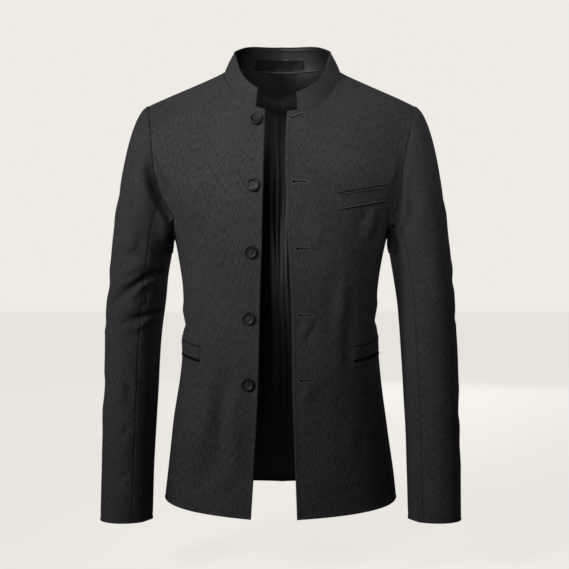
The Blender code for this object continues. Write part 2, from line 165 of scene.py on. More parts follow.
BODY = (
    Section(-690, 190, 184, 128, 127),
    Section(-640, 185, 179, 127, 125),
    Section(-562, 176, 168, 124, 121),
    Section(-484, 165, 158, 119, 114),
    Section(-406, 160, 152, 115, 108),
    Section(-328, 163, 156, 118, 112),
    Section(-290, 169, 163, 121, 119),
    Section(-262, 175, 170, 123, 124),
    Section(-238, 184, 179, 125, 127),
    Section(-190, 196, 190, 127, 131),
    Section(-150, 196, 190, 124, 129),
    Section(-110, 196, 190, 114, 123),
    Section(-74, 196, 190, 98, 113),
    Section(-30, 196, 190, 70, 95),
    Section(16, 196, 190, 60, 70),
)

OPENING = (
    Opening(-690, 47, 21.6),
    Opening(-520, 37, 15.7),
    Opening(-355, 33, 12.4),
    Opening(-257, 30, 7.4),
    Opening(-117, 27.4, 5.0),
    Opening(-74, 26.6, 6.8),
)

NECK = (
    NeckStation(0, 16, 44, 9),
    NeckStation(55, 11, 43, 14),
    NeckStation(90, -3, 41, 17),
    NeckStation(114, -26, 41, 16),
    NeckStation(124, -41, 40, 14),
    NeckStation(136, -54, 38, 11),
    NeckStation(146, -63, 36, 9),
    NeckStation(155, -68.5, 34, 8),
    NeckStation(164, -73.5, 33, 7),
    NeckStation(176, -77, 33, 7),
)

ARMHOLE_FRONT = (
    ArmholeStation(-205, -60, 190, 178, 58),
    ArmholeStation(-165, -65, 200, 187, 52),
    ArmholeStation(-125, -59, 204, 195, 44),
    ArmholeStation(-85, -38, 210, 205, 36),
    ArmholeStation(-54, -4, 216, 213, 30),
)

ARMHOLE_BACK = (
    ArmholeStation(-205, 70, 190, 180, 58),
    ArmholeStation(-165, 75, 200, 188, 52),
    ArmholeStation(-125, 68, 204, 196, 46),
    ArmholeStation(-85, 42, 210, 205, 38),
    ArmholeStation(-54, -4, 216, 213, 30),
)

SLEEVE = (
    SleeveSection(-710, 205, 286, 198, 281, -45, 46, 0.10),
    SleeveSection(-600, 202, 285, 196, 281, -32, 49, 0.12),
    SleeveSection(-523, 199, 285, 194, 281, -22, 53, 0.11),
    SleeveSection(-445, 196, 284, 190, 280, -11, 57, 0.09),
    SleeveSection(-406, 193, 284, 188, 278, -6, 60, 0.07),
    SleeveSection(-367, 189, 282, 185, 277, -2, 63, 0.04),
    SleeveSection(-328, 186, 279, 180, 275, 1, 67, 0.02),
    SleeveSection(-292, 180, 276, 174, 271, 2, 71, 0.00),
)


def smooth(at: np.ndarray | float, stations: Sequence[float], values: Sequence[float]) -> np.ndarray:
    """Reads a table at any place along it on a smooth curve through its rows.

    Args:
        at: Places to read.
        stations: Rising places of the rows.
        values: Values of the rows.

    Returns:
        The value at each place.
    """
    stations = np.asarray(stations, float)
    values = np.asarray(values, float)
    at = np.clip(np.asarray(at, float), stations[0], stations[-1])
    slopes = np.gradient(values, stations)
    i = np.clip(np.searchsorted(stations, at, side="right") - 1, 0, len(stations) - 2)
    span = stations[i + 1] - stations[i]
    t = (at - stations[i]) / span
    near = (1 + 2 * t) * (1 - t) ** 2 * values[i] + t * (1 - t) ** 2 * span * slopes[i]
    far = t**2 * (3 - 2 * t) * values[i + 1] + t**2 * (t - 1) * span * slopes[i + 1]
    return near + far


def column(table: Sequence[NamedTuple], name: str, at: np.ndarray | float, key: str = "z") -> np.ndarray:
    """One named column of a table, read at heights or angles.

    Args:
        table: Rows in rising order of the key.
        name: The column to read.
        at: Places to read.
        key: The column that holds the places.

    Returns:
        The column's value at each place.
    """
    return smooth(at, [getattr(row, key) for row in table], [getattr(row, name) for row in table])


def unit(vectors: np.ndarray) -> np.ndarray:
    """Vectors along the last axis, made one long."""
    return vectors / np.maximum(np.linalg.norm(vectors, axis=-1, keepdims=True), 1e-9)


def travelled(points: Grid) -> np.ndarray:
    """Distance along a line of points to each of them."""
    return np.concatenate([[0], np.cumsum(np.linalg.norm(np.diff(points, axis=0), axis=1))])


def cells(index: np.ndarray) -> np.ndarray:
    """The four point numbers of each cell of a grid of point numbers."""
    corners = [index[:-1, :-1], index[:-1, 1:], index[1:, 1:], index[1:, :-1]]
    return np.stack(corners, axis=-1).reshape(-1, 4)


@dataclass(frozen=True)
class JacketForm:
    """The worn form of the jacket: where each piece's cloth lies, on grids as fine as asked."""

    fine: int = 7
    hem_z: float = -690.0
    hem_rise: float = 8.0
    underarm_z: float = -262.0
    side_depth: float = 5.0
    roundness: float = 0.86
    shoulder_arc: float = 30.0
    front_seam_angle: float = 66.0
    back_seam_angle: float = 114.0
    across: int = 11
    side_across: int = 5
    rows_below: int = 13
    rows_above: int = 11
    front_edge_rows: int = 6
    back_edge_rows: int = 7
    cap_rings: int = 7
    sleeve_rings: int = 12
    collar_gap: float = -4.5

    @property
    def back_middle_rows(self) -> int:
        """Rows of the back that end on the centre back seam."""
        return (self.rows_below + self.back_edge_rows) * self.fine

    @property
    def front_corner_row(self) -> int:
        """Row of the front that starts at the corner of neck and opening."""
        return (self.rows_below + self.front_edge_rows) * self.fine

    def body(self, side: Side, angle: np.ndarray | float, z: np.ndarray | float) -> np.ndarray:
        """Point of the body's outer cloth at an angle from centre front and a height.

        Args:
            side: The wearer's side.
            angle: Degrees from centre front.
            z: Height.

        Returns:
            The point or points.
        """
        half = column(BODY, side.word, z)
        across = np.sin(np.radians(angle)) ** self.roundness
        along = np.abs(np.cos(np.radians(angle))) ** self.roundness
        front = self.side_depth - (column(BODY, "front", z) + self.side_depth) * along
        back = self.side_depth + (column(BODY, "back", z) - self.side_depth) * along
        y = np.where(np.asarray(angle) <= 90, front, back)
        return np.stack(np.broadcast_arrays(side.value * half * across, y, z), axis=-1)

    def edge_angle(self, side: Side, z: float) -> float:
        """Angle from centre front of a front's opening edge."""
        share = column(OPENING, side.word, z) / column(BODY, side.word, z)
        return math.degrees(math.asin(float(share) ** (1 / self.roundness)))

    def front_edge(self, side: Side, z: float) -> np.ndarray:
        """Point of a front's opening edge at a height.

        Args:
            side: The wearer's side.
            z: Height.

        Returns:
            The point.
        """
        along = math.cos(math.radians(self.edge_angle(side, z))) ** self.roundness
        y = self.side_depth - (column(BODY, "front", z) + self.side_depth) * along
        return np.array([side.value * column(OPENING, side.word, z), y, z])

    def neck(self, side: Side, angle: float) -> np.ndarray:
        """Point of the neck seam at an angle from centre back.

        Args:
            side: The wearer's side.
            angle: Degrees from centre back.

        Returns:
            The point.
        """
        turn = math.radians(angle)
        x = side.value * NECK_HALF_WIDTH * math.sin(turn)
        y = NECK_MIDDLE + NECK_HALF_DEPTH * math.cos(turn)
        return np.array([x, y, float(column(NECK, "z", angle, "angle"))])

    def neck_end_angle(self, side: Side) -> float:
        """Angle from centre back where the neck seam meets the front edge."""
        share = getattr(OPENING[-1], side.word) / NECK_HALF_WIDTH
        return 180 - math.degrees(math.asin(share))

    def side_top(self, angle: np.ndarray | float) -> np.ndarray:
        """Height of the side panel's top edge, lowest under the arm."""
        reach = (np.asarray(angle, float) - 90) / (90 - self.front_seam_angle)
        return self.underarm_z + 24 * reach**2

    def hem(self, angle: np.ndarray | float) -> np.ndarray:
        """Height of the hem, a little higher at the sides."""
        return self.hem_z + self.hem_rise * np.sin(np.radians(angle)) ** 2

    def armhole(self, side: Side, stations: Sequence[ArmholeStation], seam_angle: float) -> tuple[Grid, Grid]:
        """Half an armhole, from its side panel seam up to the shoulder point.

        Args:
            side: The wearer's side.
            stations: The seam's table, front or back.
            seam_angle: Angle of the side panel's seam, where it starts.

        Returns:
            The points, and the arc that the row through each one is bowed by.
        """
        start = self.body(side, seam_angle, float(self.side_top(seam_angle)))
        outs = [side.value * getattr(row, side.word) for row in stations]
        points = np.array([start] + [[out, row.y, row.z] for row, out in zip(stations, outs)])
        arcs = [self.front_seam_angle] + [row.arc for row in stations]
        lengths = travelled(points)
        at = np.linspace(0, lengths[-1], self.rows_above * self.fine + 1)
        curve = np.stack([smooth(at, lengths, points[:, axis]) for axis in range(3)], axis=-1)
        return curve, smooth(at, lengths, arcs)

    def row_between(self, inner: np.ndarray, outer: np.ndarray, from_angle: float, to_angle: float) -> Grid:
        """Points along one cross row, bowed as the body's round section is between two angles.

        Args:
            inner: First point.
            outer: Last point.
            from_angle: Angle of the first point.
            to_angle: Angle of the last.

        Returns:
            The row's points.
        """
        angles = np.radians(np.linspace(from_angle, to_angle, self.across * self.fine + 1))
        across = np.sin(angles) ** self.roundness
        along = np.cos(angles) ** self.roundness
        across = (across - across[0]) / (across[-1] - across[0])
        along = (along - along[0]) / (along[-1] - along[0])
        return inner + (outer - inner) * np.stack([across, along, across], axis=-1)

    def shoulder_row(self, side: Side) -> Grid:
        """Points of the shoulder seam, from the neck point out to the shoulder point.

        Args:
            side: The wearer's side.

        Returns:
            The row's points.
        """
        tip = ARMHOLE_FRONT[-1]
        end = np.array([side.value * getattr(tip, side.word), tip.y, tip.z])
        return self.row_between(self.neck(side, 90), end, 0, self.shoulder_arc)

    def front_panel(self, side: Side) -> Grid:
        """Grid of a front, from hem to shoulder seam and from opening edge to side panel or armhole.

        Args:
            side: The wearer's side.

        Returns:
            The grid.
        """
        top, seam = float(self.side_top(self.front_seam_angle)), self.front_seam_angle
        rows = []
        for share in np.linspace(0, 1, self.rows_below * self.fine + 1):
            inner = self.front_edge(side, self.hem_z + (self.underarm_z - self.hem_z) * share)
            outer = self.body(side, seam, self.hem(seam) * (1 - share) + top * share)
            rows.append(self.row_between(inner, outer, self.edge_angle(side, inner[2]), seam))
        curve, arcs = self.armhole(side, ARMHOLE_FRONT, seam)
        corner = self.neck_end_angle(side)
        edge_rows, all_rows = self.front_edge_rows * self.fine, self.rows_above * self.fine
        for step in range(1, all_rows + 1):
            height = self.underarm_z + (OPENING[-1].z - self.underarm_z) * min(step / edge_rows, 1)
            inner = self.front_edge(side, height)
            if step >= edge_rows:
                share = (step - edge_rows) / (all_rows - edge_rows)
                inner = self.neck(side, corner + (90 - corner) * share)
            rows.append(self.row_between(inner, curve[step], self.edge_angle(side, height), arcs[step]))
        rows[-1] = self.shoulder_row(side)
        return np.array(rows)

    def back_panel(self, side: Side) -> Grid:
        """Grid of half the back, from hem to shoulder seam and from centre back out.

        Args:
            side: The wearer's side.

        Returns:
            The grid.
        """
        top, seam = float(self.side_top(self.back_seam_angle)), self.back_seam_angle
        rows = []
        for share in np.linspace(0, 1, self.rows_below * self.fine + 1):
            inner = self.body(side, 180.0, self.hem_z + (self.underarm_z - self.hem_z) * share)
            outer = self.body(side, seam, self.hem(seam) * (1 - share) + top * share)
            rows.append(self.row_between(inner, outer, 0, 180 - seam))
        curve, arcs = self.armhole(side, ARMHOLE_BACK, seam)
        edge_rows, all_rows = self.back_edge_rows * self.fine, self.rows_above * self.fine
        for step in range(1, all_rows + 1):
            height = self.underarm_z + (NECK[0].z - self.underarm_z) * min(step / edge_rows, 1)
            inner = self.body(side, 180.0, height)
            if step > edge_rows:
                inner = self.neck(side, 90 * (step - edge_rows) / (all_rows - edge_rows))
            rows.append(self.row_between(inner, curve[step], 0, arcs[step]))
        rows[-1] = self.shoulder_row(side)
        grid = np.array(rows)
        grid[: self.rows_below * self.fine + edge_rows + 1, 0, 0] = 0.0
        return grid

    def side_panel(self, side: Side) -> Grid:
        """Grid of the side panel, from its front seam to its back seam.

        Args:
            side: The wearer's side.

        Returns:
            The grid.
        """
        angles = np.linspace(self.front_seam_angle, self.back_seam_angle, self.side_across * self.fine + 1)
        shares = np.linspace(0, 1, self.rows_below * self.fine + 1)
        tops, hems = self.side_top(angles), self.hem(angles)
        return np.array([self.body(side, angles, hems * (1 - t) + tops * t) for t in shares])

    def sleeve_ring(self, side: Side, z: float, turns: np.ndarray) -> Grid:
        """Ring of a sleeve below the underarm; turn 0 is its outer edge and 90 its front.

        Args:
            side: The wearer's side.
            z: The ring's height.
            turns: Turn of each point in degrees.

        Returns:
            The ring's points.
        """
        inner, outer = column(SLEEVE, side.word + "_in", z), column(SLEEVE, side.word + "_out", z)
        turn = np.radians(turns)
        x = (inner + outer) / 2 + (outer - inner) / 2 * np.cos(turn)
        sway = -column(SLEEVE, "half_depth", z) * np.sin(turn)
        y = column(SLEEVE, "middle", z) + sway
        return np.stack([side.value * x, y, z - column(SLEEVE, "tilt", z) * sway], axis=-1)

    def sleeve(self, side: Side, front: Grid, back: Grid, flank: Grid) -> Grid:
        """Closed rings of a sleeve, from the armhole seam to the cuff.

        Args:
            side: The wearer's side.
            front: The front's grid, whose outer edge is the armhole's front.
            back: The back's grid.
            flank: The side panel's grid, whose top edge is the underarm.

        Returns:
            The rings, with the first point of each repeated at its end.
        """
        start = self.rows_below * self.fine
        loop = np.concatenate([front[start:, -1], back[start:-1, -1][::-1], flank[-1, 1:-1][::-1]])
        steps = np.linalg.norm(np.roll(loop, -1, axis=0) - loop, axis=1)
        lengths = np.concatenate([[0], np.cumsum(steps)])
        under = (2 * self.rows_above + self.side_across / 2) * self.fine
        under_at = np.interp(under, np.arange(len(lengths)), lengths)
        stops = [under_at - lengths[-1], lengths[self.rows_above * self.fine], under_at]
        turns = np.interp(lengths[:-1], stops, [180, 0, -180])
        first = self.sleeve_ring(side, SLEEVE[-1].z, turns)
        down = unit(self.sleeve_ring(side, SLEEVE[-1].z - 1, turns) - first)
        topness = (1 + np.cos(np.radians(turns))) / 2
        sway = -0.25 * np.sin(np.radians(turns))
        leave = unit(np.stack([side.value * (0.45 + 0.5 * topness), sway, -0.9 + 0.5 * topness], axis=-1))
        chord = np.linalg.norm(first - loop, axis=1, keepdims=True)
        rings = []
        for t in np.linspace(0, 1, self.cap_rings * self.fine + 1):
            near = (1 + 2 * t) * (1 - t) ** 2 * loop + t * (1 - t) ** 2 * chord * 0.47 * leave
            far = t**2 * (3 - 2 * t) * first + t**2 * (t - 1) * chord * 0.95 * down
            rings.append(near + far)
        for height in np.linspace(SLEEVE[-1].z, SLEEVE[0].z, self.sleeve_rings * self.fine + 1)[1:]:
            rings.append(self.sleeve_ring(side, height, turns))
        ring = np.array(rings)
        return np.concatenate([ring, ring[:, :1]], axis=1)

    def collar(self, angles: np.ndarray, shares: np.ndarray) -> tuple[Grid, Grid]:
        """Grid of the collar at signed angles from centre back and shares of its height, with normals.

        Args:
            angles: Degrees from centre back, negative to the wearer's right.
            shares: Shares of the height.

        Returns:
            The points and their normals.
        """
        points, normals = [], []
        for share in shares:
            for angle in angles:
                base = self.neck(Side.RIGHT if angle < 0 else Side.LEFT, abs(angle))
                stand = float(column(NECK, "stand", abs(angle), "angle"))
                lean = float(column(NECK, "lean", abs(angle), "angle"))
                out = base[:2] / [NECK_HALF_WIDTH, 1] - [0, NECK_MIDDLE]
                out = np.array([out[0], out[1] / NECK_HALF_DEPTH, 0])
                out /= np.linalg.norm(out)
                rise = np.array([0, 0, self.collar_gap + stand * share])
                points.append(base + rise - lean * share**1.3 * out)
                normals.append(out)
        shape = (len(shares), len(angles), 3)
        return np.array(points).reshape(shape), np.array(normals).reshape(shape)


@dataclass(frozen=True)
class Creases:
    """The folds of the worn cloth, drawn in millimetres as seen from one side."""

    folds: tuple[Fold, ...] = ()

    @staticmethod
    def neck_calm(x: np.ndarray, y: np.ndarray, z: np.ndarray) -> np.ndarray:
        """Share of the cloth's unevenness that is left near the neck seam, none at the seam."""
        out = (np.hypot(x / NECK_HALF_WIDTH, (y - NECK_MIDDLE) / NECK_HALF_DEPTH) - 1) * NECK_HALF_DEPTH
        return np.where(z > NECK_CALM_FLOOR, np.clip(out / NECK_CALM_REACH, 0, 1), 1.0)

    @staticmethod
    def trace(path: Sequence[tuple[float, float]], across: np.ndarray, up: np.ndarray) -> tuple[Grid, Grid]:
        """Distance to a path with rounded bends, and the share along it, at flat places.

        Args:
            path: The path's points.
            across: First coordinate of each place.
            up: Height of each place.

        Returns:
            The distance to the nearest point of the path, and how far along the path that point is.
        """
        line = np.array(path, float)
        lengths = travelled(line)
        at = np.linspace(0, lengths[-1], 14)
        line = np.stack([smooth(at, lengths, line[:, axis]) for axis in range(2)], axis=-1)
        best = np.full(across.shape, 1e9)
        share = np.zeros(across.shape)
        for step, (a, b) in enumerate(zip(line, line[1:])):
            run = b - a
            t = ((across - a[0]) * run[0] + (up - a[1]) * run[1]) / max(float(run @ run), 1e-9)
            t = np.clip(t, 0, 1)
            away = np.hypot(across - a[0] - t * run[0], up - a[1] - t * run[1])
            nearer = away < best
            best = np.where(nearer, away, best)
            share = np.where(nearer, (step + t) / (len(line) - 1), share)
        return best, share

    def height(self, region: Region, grid: Grid, normals: Grid) -> Grid:
        """How far the folds and the cloth's own unevenness lift each point along its normal.

        Args:
            region: The stretch of cloth that the grid belongs to.
            grid: Points of the cloth.
            normals: Their outward normals.

        Returns:
            The lift of each point in millimetres.
        """
        x, y, z = grid[..., 0], grid[..., 1], grid[..., 2]
        swell = 0.5 * np.sin(x / 31 + 1.7 * np.sin(z / 83)) * np.sin(z / 57 + y / 43)
        swell += 0.35 * np.sin(x / 17 - y / 23 + 2.1 * np.sin(z / 61)) * np.cos(z / 39 - x / 71)
        total = swell * (0.4 if region is Region.COLLAR else self.neck_calm(x, y, z))
        for fold in self.folds:
            if fold.region is not region:
                continue
            facing = np.clip(normals @ np.array(fold.seen.value, float), 0, 1)
            across = x if fold.seen in (Seen.FRONT, Seen.BACK) else y
            away, share = self.trace(fold.path, across, z)
            waver = 1 + 0.25 * np.sin(share * 9 + fold.width)
            reach = fold.width * waver * (0.65 + 0.35 * np.sin(math.pi * share))
            swing = (away / reach) ** 2
            profile = np.exp(-swing) - 0.45 * np.exp(-((away / reach - 1.9) ** 2) * 1.6)
            fade = np.sin(math.pi * np.clip(share, 0.0, 1.0) * 0.94 + 0.1) ** 0.8
            total = total + fold.depth * FOLD_DEPTH * profile * fade * np.minimum(facing * 2.2, 1)
        return total


@dataclass
class Shell:
    """A piece of cloth before it becomes a mesh: its points, normals and place in the weave."""

    name: str
    grid: Grid
    normals: Grid
    flat: Grid = field(default_factory=lambda: np.zeros((0, 0, 2)))

    def __post_init__(self) -> None:
        """Lays the cloth flat by its lengths along and across when no flat places are given."""
        if self.flat.size == 0:
            down = np.linalg.norm(np.diff(self.grid, axis=0), axis=-1)
            over = np.linalg.norm(np.diff(self.grid, axis=1), axis=-1)
            v = np.concatenate([np.zeros((1, down.shape[1])), np.cumsum(down, axis=0)])
            u = np.concatenate([np.zeros((over.shape[0], 1)), np.cumsum(over, axis=1)], axis=1)
            v = np.broadcast_to(v.mean(axis=1, keepdims=True), v.shape)
            self.flat = np.stack([u, v], axis=-1)

    def wound(self) -> Shell:
        """The same cloth with its weave laid level round the body, whatever way its grid runs.

        Returns:
            This cloth.
        """
        x, y, z = self.grid[..., 0], self.grid[..., 1], self.grid[..., 2]
        round_body = BODY_RADIUS * np.arctan2(x, np.abs(y - BODY_MIDDLE_Y) + WEAVE_SPREAD)
        self.flat = np.stack([round_body, WEAVE_DOWN * z - WEAVE_BACKWARD * np.abs(y)], axis=-1)
        return self

    def part(self, rows: slice | list[int], columns: slice | list[int], name: str) -> Shell:
        """A named cut of the cloth, kept in the same place in the weave."""
        grid, normals, flat = (a[rows][:, columns] for a in (self.grid, self.normals, self.flat))
        return Shell(name, grid, normals, flat.copy())

    def lifted(self, lift: Grid) -> Shell:
        """The cloth with each point moved along its normal, and the normals taken again."""
        grid = self.grid + lift[..., None] * self.normals
        return Shell(self.name, grid, surface_normals(grid, self.normals), self.flat)

    def size(self) -> tuple[float, float, float]:
        """Width, length and area of the flat cloth in metres, from the widest row and longest column.

        Returns:
            Width, length and area.
        """
        down = np.linalg.norm(np.diff(self.grid, axis=0), axis=-1).sum(axis=0).max()
        over = np.linalg.norm(np.diff(self.grid, axis=1), axis=-1).sum(axis=1).max()
        one = np.cross(self.grid[1:, :-1] - self.grid[:-1, :-1], self.grid[:-1, 1:] - self.grid[:-1, :-1])
        two = np.cross(self.grid[1:, :-1] - self.grid[1:, 1:], self.grid[:-1, 1:] - self.grid[1:, 1:])
        area = (np.linalg.norm(one, axis=-1).sum() + np.linalg.norm(two, axis=-1).sum()) / 2
        return float(over) * MM, float(down) * MM, float(area) * MM * MM


def eased(grid: Grid, row: int, fine: int, rounds: int = 220) -> Grid:
    """A grid with the bend along one row spread out, while all four edges stay where they are.

    Args:
        grid: The grid.
        row: The row with the bend.
        fine: Rows between two main rows.
        rounds: Times that it is eased.

    Returns:
        The eased grid.
    """
    rows = np.arange(grid.shape[0])
    held = np.exp(-(((rows - row) / (3.2 * fine)) ** 2))[1:-1, None, None] * 0.25
    made = grid.copy()
    for _ in range(rounds):
        around = made[2:, 1:-1] + made[:-2, 1:-1] + made[1:-1, 2:] + made[1:-1, :-2]
        made[1:-1, 1:-1] += held * (around - 4 * made[1:-1, 1:-1])
    return made


def surface_normals(grid: Grid, like: Grid) -> Grid:
    """Unit normals of a grid, turned to the side that given directions point to on the whole."""
    made = unit(np.cross(np.gradient(grid, axis=0), np.gradient(grid, axis=1)))
    return made if np.sum(made * like) > 0 else -made


def share_normals(shells: Sequence[Shell]) -> None:
    """Gives points that shells share at a seam one common normal.

    Args:
        shells: Cloth that meets at seams.
    """
    sums: dict[tuple[float, ...], np.ndarray] = {}
    for shell in shells:
        for point, normal in zip(np.round(shell.grid.reshape(-1, 3), 2), shell.normals.reshape(-1, 3)):
            sums[tuple(point)] = sums.get(tuple(point), 0) + normal
    for shell in shells:
        found = np.array([sums[tuple(point)] for point in np.round(shell.grid.reshape(-1, 3), 2)])
        shell.normals = unit(found).reshape(shell.grid.shape)


class Edge(Enum):
    """An edge of a panel's grid."""

    FIRST_ROW = (0, False)
    LAST_ROW = (0, True)
    FIRST_COLUMN = (1, False)
    LAST_COLUMN = (1, True)


class SewnLine(NamedTuple):
    """A line sewn along a column of a panel, such as a dart: its heights and how deep it draws the cloth."""

    column: float
    low: float
    high: float
    depth: float = 0.9
    reach: float = 1.5


@dataclass(frozen=True)
class Trim:
    """Widths of outer cloth turned to the inside along a panel's edges, in millimetres."""

    facing: float = 0.0
    first: float = 0.0
    last: float = 0.0
    rim_strips: int = 0

    def lined(self, along: np.ndarray, across: np.ndarray) -> np.ndarray:
        """Which cells are lining on the inside, from the distances of a grid's rows and columns.

        Args:
            along: Distance of each row.
            across: Distance of each column.

        Returns:
            True where a cell is lining.
        """
        up, out = (along[:-1] + along[1:]) / 2, (across[:-1] + across[1:]) / 2
        clear = (up > self.first) & (up < along[-1] - self.last)
        return clear[:, None] & (out > self.facing)[None, :]


@dataclass(frozen=True)
class Wall:
    """Thickness of a piece of cloth and how its edges are turned, in millimetres."""

    thickness: float = 2.2
    gap: float = -0.03
    round_over: float = 0.75
    dip: float = 0.55
    dip_reach: float = 2.4
    free: frozenset[Edge] = frozenset()
    bead: float = 0.45
    bead_out: float = 1.6
    pricked: float = 0.3
    pricked_out: float = 5.5
    rim_loops: int = 3

    def refine(self, count: int, extra: Sequence[float] = ()) -> np.ndarray:
        """Places along a grid's axis with added loops next to both ends and on the lines asked for.

        Args:
            count: Rows or columns of the grid.
            extra: Further places.

        Returns:
            The places in order.
        """
        near = [0.0, 0.22, 0.5, 1.35, 1.65]
        last = count - 1
        places = set(near) | {last - at for at in near} | set(range(1, last)) | set(extra)
        return np.array(sorted(places))

    def mesh(
        self, shell: Shell, lift: float = 0.0, lines: Sequence[SewnLine] = (), trim: Trim | None = None
    ) -> bpy.types.Mesh:
        """Closed mesh of a piece of cloth, with rounded edges.

        Args:
            shell: The piece's outer face.
            lift: How far the outer face lies out from the shell.
            lines: Lines sewn along the panel.
            trim: Where the inner face is lined, if it is.

        Returns:
            The mesh, with its weave places as UVs in metres.
        """
        extra = [line.column + step for line in lines for step in (-0.5, -0.22, 0.22, 0.5)]
        rows, columns = self.refine(shell.grid.shape[0]), self.refine(shell.grid.shape[1], extra)
        grid, normals, flat = (resample(a, rows, columns) for a in (shell.grid, shell.normals, shell.flat))
        normals = unit(normals)
        outward = np.zeros(grid.shape)
        ends = ((np.s_[0], np.s_[1]), (np.s_[-1], np.s_[-2]))
        sides = (*ends, (np.s_[:, 0], np.s_[:, 1]), (np.s_[:, -1], np.s_[:, -2]))
        for edge, inner in sides:
            outward[edge] += unit(grid[edge] - grid[inner])
        grid = grid - outward * (self.gap + self.round_over)
        grid = grid + normals * self.relief(shell.grid, rows, columns)[..., None]
        for line in lines:
            off = np.abs(columns - line.column) * mean_step(shell.grid, 1) / line.reach
            height = grid[..., 2]
            held = np.clip((height - line.low) / 22, 0, 1) * np.clip((line.high - height) / 22, 0, 1)
            grid = grid - normals * (line.depth * held * np.exp(-(off**2)))[..., None]
        skin, back = grid + lift * normals, grid + (lift - self.thickness) * normals
        loop = rim_places(*grid.shape[:2])
        on = tuple(np.array(loop).T)
        bands = []
        for k in range(1, self.rim_loops + 1):
            turn = math.pi * k / (self.rim_loops + 1)
            middle = (skin[on] + back[on]) / 2
            up = self.thickness / 2 * math.cos(turn) * normals[on]
            bands.append(middle + up + self.round_over * math.sin(turn) * outward[on])
        points = np.concatenate([skin.reshape(-1, 3), back.reshape(-1, 3), *bands])
        rim = [flat[on] + 1.0 + k for k in range(self.rim_loops)]
        places = np.concatenate([flat.reshape(-1, 2)] * 2 + rim)
        made = quad_mesh(shell.name, points, places, self.faces(grid, normals, loop))
        if trim is not None:
            along, across = rows * mean_step(shell.grid, 0), columns * mean_step(shell.grid, 1)
            lined = trim.lined(along, across).reshape(-1)
            index = np.zeros(len(made.polygons), np.int32)
            index[len(lined) : 2 * len(lined)] = lined
            index[len(index) - trim.rim_strips * len(loop) :] = 1
            made.polygons.foreach_set("material_index", index)
        return made

    def relief(self, grid: Grid, rows: np.ndarray, columns: np.ndarray) -> Grid:
        """Lift of the cloth by its edges: sunk at seams, and a bead with a pricked line inside free edges.

        Args:
            grid: The cloth's points.
            rows: Rows that are read.
            columns: Columns that are read.

        Returns:
            The lift at each place.
        """
        total = np.zeros((len(rows), len(columns)))
        for edge in Edge:
            axis, last = edge.value
            at = (rows, columns)[axis]
            away = (at[-1] - at if last else at) * mean_step(grid, axis)
            away = np.broadcast_to(away[:, None] if axis == 0 else away[None, :], total.shape)
            if edge in self.free:
                total = total + self.bead * np.exp(-(((away - self.bead_out) / 1.7) ** 2))
                total = total - self.pricked * np.exp(-(((away - self.pricked_out) / 1.6) ** 2))
            else:
                total = total - self.dip * np.exp(-((away / self.dip_reach) ** 2))
        return total

    def faces(self, grid: Grid, normals: Grid, loop: list[tuple[int, int]]) -> Grid:
        """Quads of both faces and the rim, in that order, facing out.

        Args:
            grid: Points of the outer face.
            normals: Their normals.
            loop: Places round the rim.

        Returns:
            Four point numbers a face.
        """
        count = grid.shape[0] * grid.shape[1]
        index = np.arange(count).reshape(grid.shape[:2])
        quads = cells(index)
        perimeter = index[tuple(np.array(loop).T)]
        bands = [2 * count + len(loop) * k + np.arange(len(loop)) for k in range(self.rim_loops)]
        stack = [perimeter, *bands, perimeter + count]
        rim = [
            np.stack([np.roll(low, -1), low, high, np.roll(high, -1)], axis=-1)
            for low, high in zip(stack, stack[1:])
        ]
        quads = np.concatenate([quads, quads[:, ::-1] + count, *rim])
        centre = np.cross(grid[1, 0] - grid[0, 0], grid[0, 1] - grid[0, 0])
        return quads if float(centre @ normals[0, 0]) < 0 else quads[:, ::-1]


def laid_strip(
    name: str, found: Sequence[Sequence[tuple[np.ndarray, np.ndarray]]], wall: Wall, lift: float
) -> bpy.types.Mesh:
    """Thin strip of cloth laid over places found on other cloth.

    Args:
        name: The mesh's name.
        found: Rows of points, each with the way out of the cloth.
        wall: The strip's thickness and edges.
        lift: How far its face lies out from the points.

    Returns:
        The mesh.
    """
    grid = np.array([[point for point, _ in row] for row in found])
    normals = np.array([[out for _, out in row] for row in found])
    return wall.mesh(Shell(name, grid, normals), lift=lift)


def mean_step(grid: Grid, axis: int) -> float:
    """Mean distance between neighbours of a grid along one axis."""
    return float(np.linalg.norm(np.diff(grid, axis=axis), axis=-1).mean())


def resample(grid: Grid, rows: np.ndarray, columns: np.ndarray) -> Grid:
    """A grid read at fractional rows and columns.

    Args:
        grid: Values on whole rows and columns.
        rows: Rows to read.
        columns: Columns to read.

    Returns:
        The values there.
    """
    low = np.clip(rows.astype(int), 0, grid.shape[0] - 2)
    share = (rows - low)[:, None, None]
    grid = grid[low] * (1 - share) + grid[low + 1] * share
    low = np.clip(columns.astype(int), 0, grid.shape[1] - 2)
    share = (columns - low)[None, :, None]
    return grid[:, low] * (1 - share) + grid[:, low + 1] * share


def rim_places(rows: int, columns: int) -> list[tuple[int, int]]:
    """Rows and columns round the edge of a grid, in order.

    Args:
        rows: Rows of the grid.
        columns: Columns of the grid.

    Returns:
        Row and column of each place.
    """
    rim = [(0, j) for j in range(columns)]
    rim += [(i, columns - 1) for i in range(1, rows)]
    rim += [(rows - 1, j) for j in range(columns - 2, -1, -1)]
    return rim + [(i, 0) for i in range(rows - 2, 0, -1)]


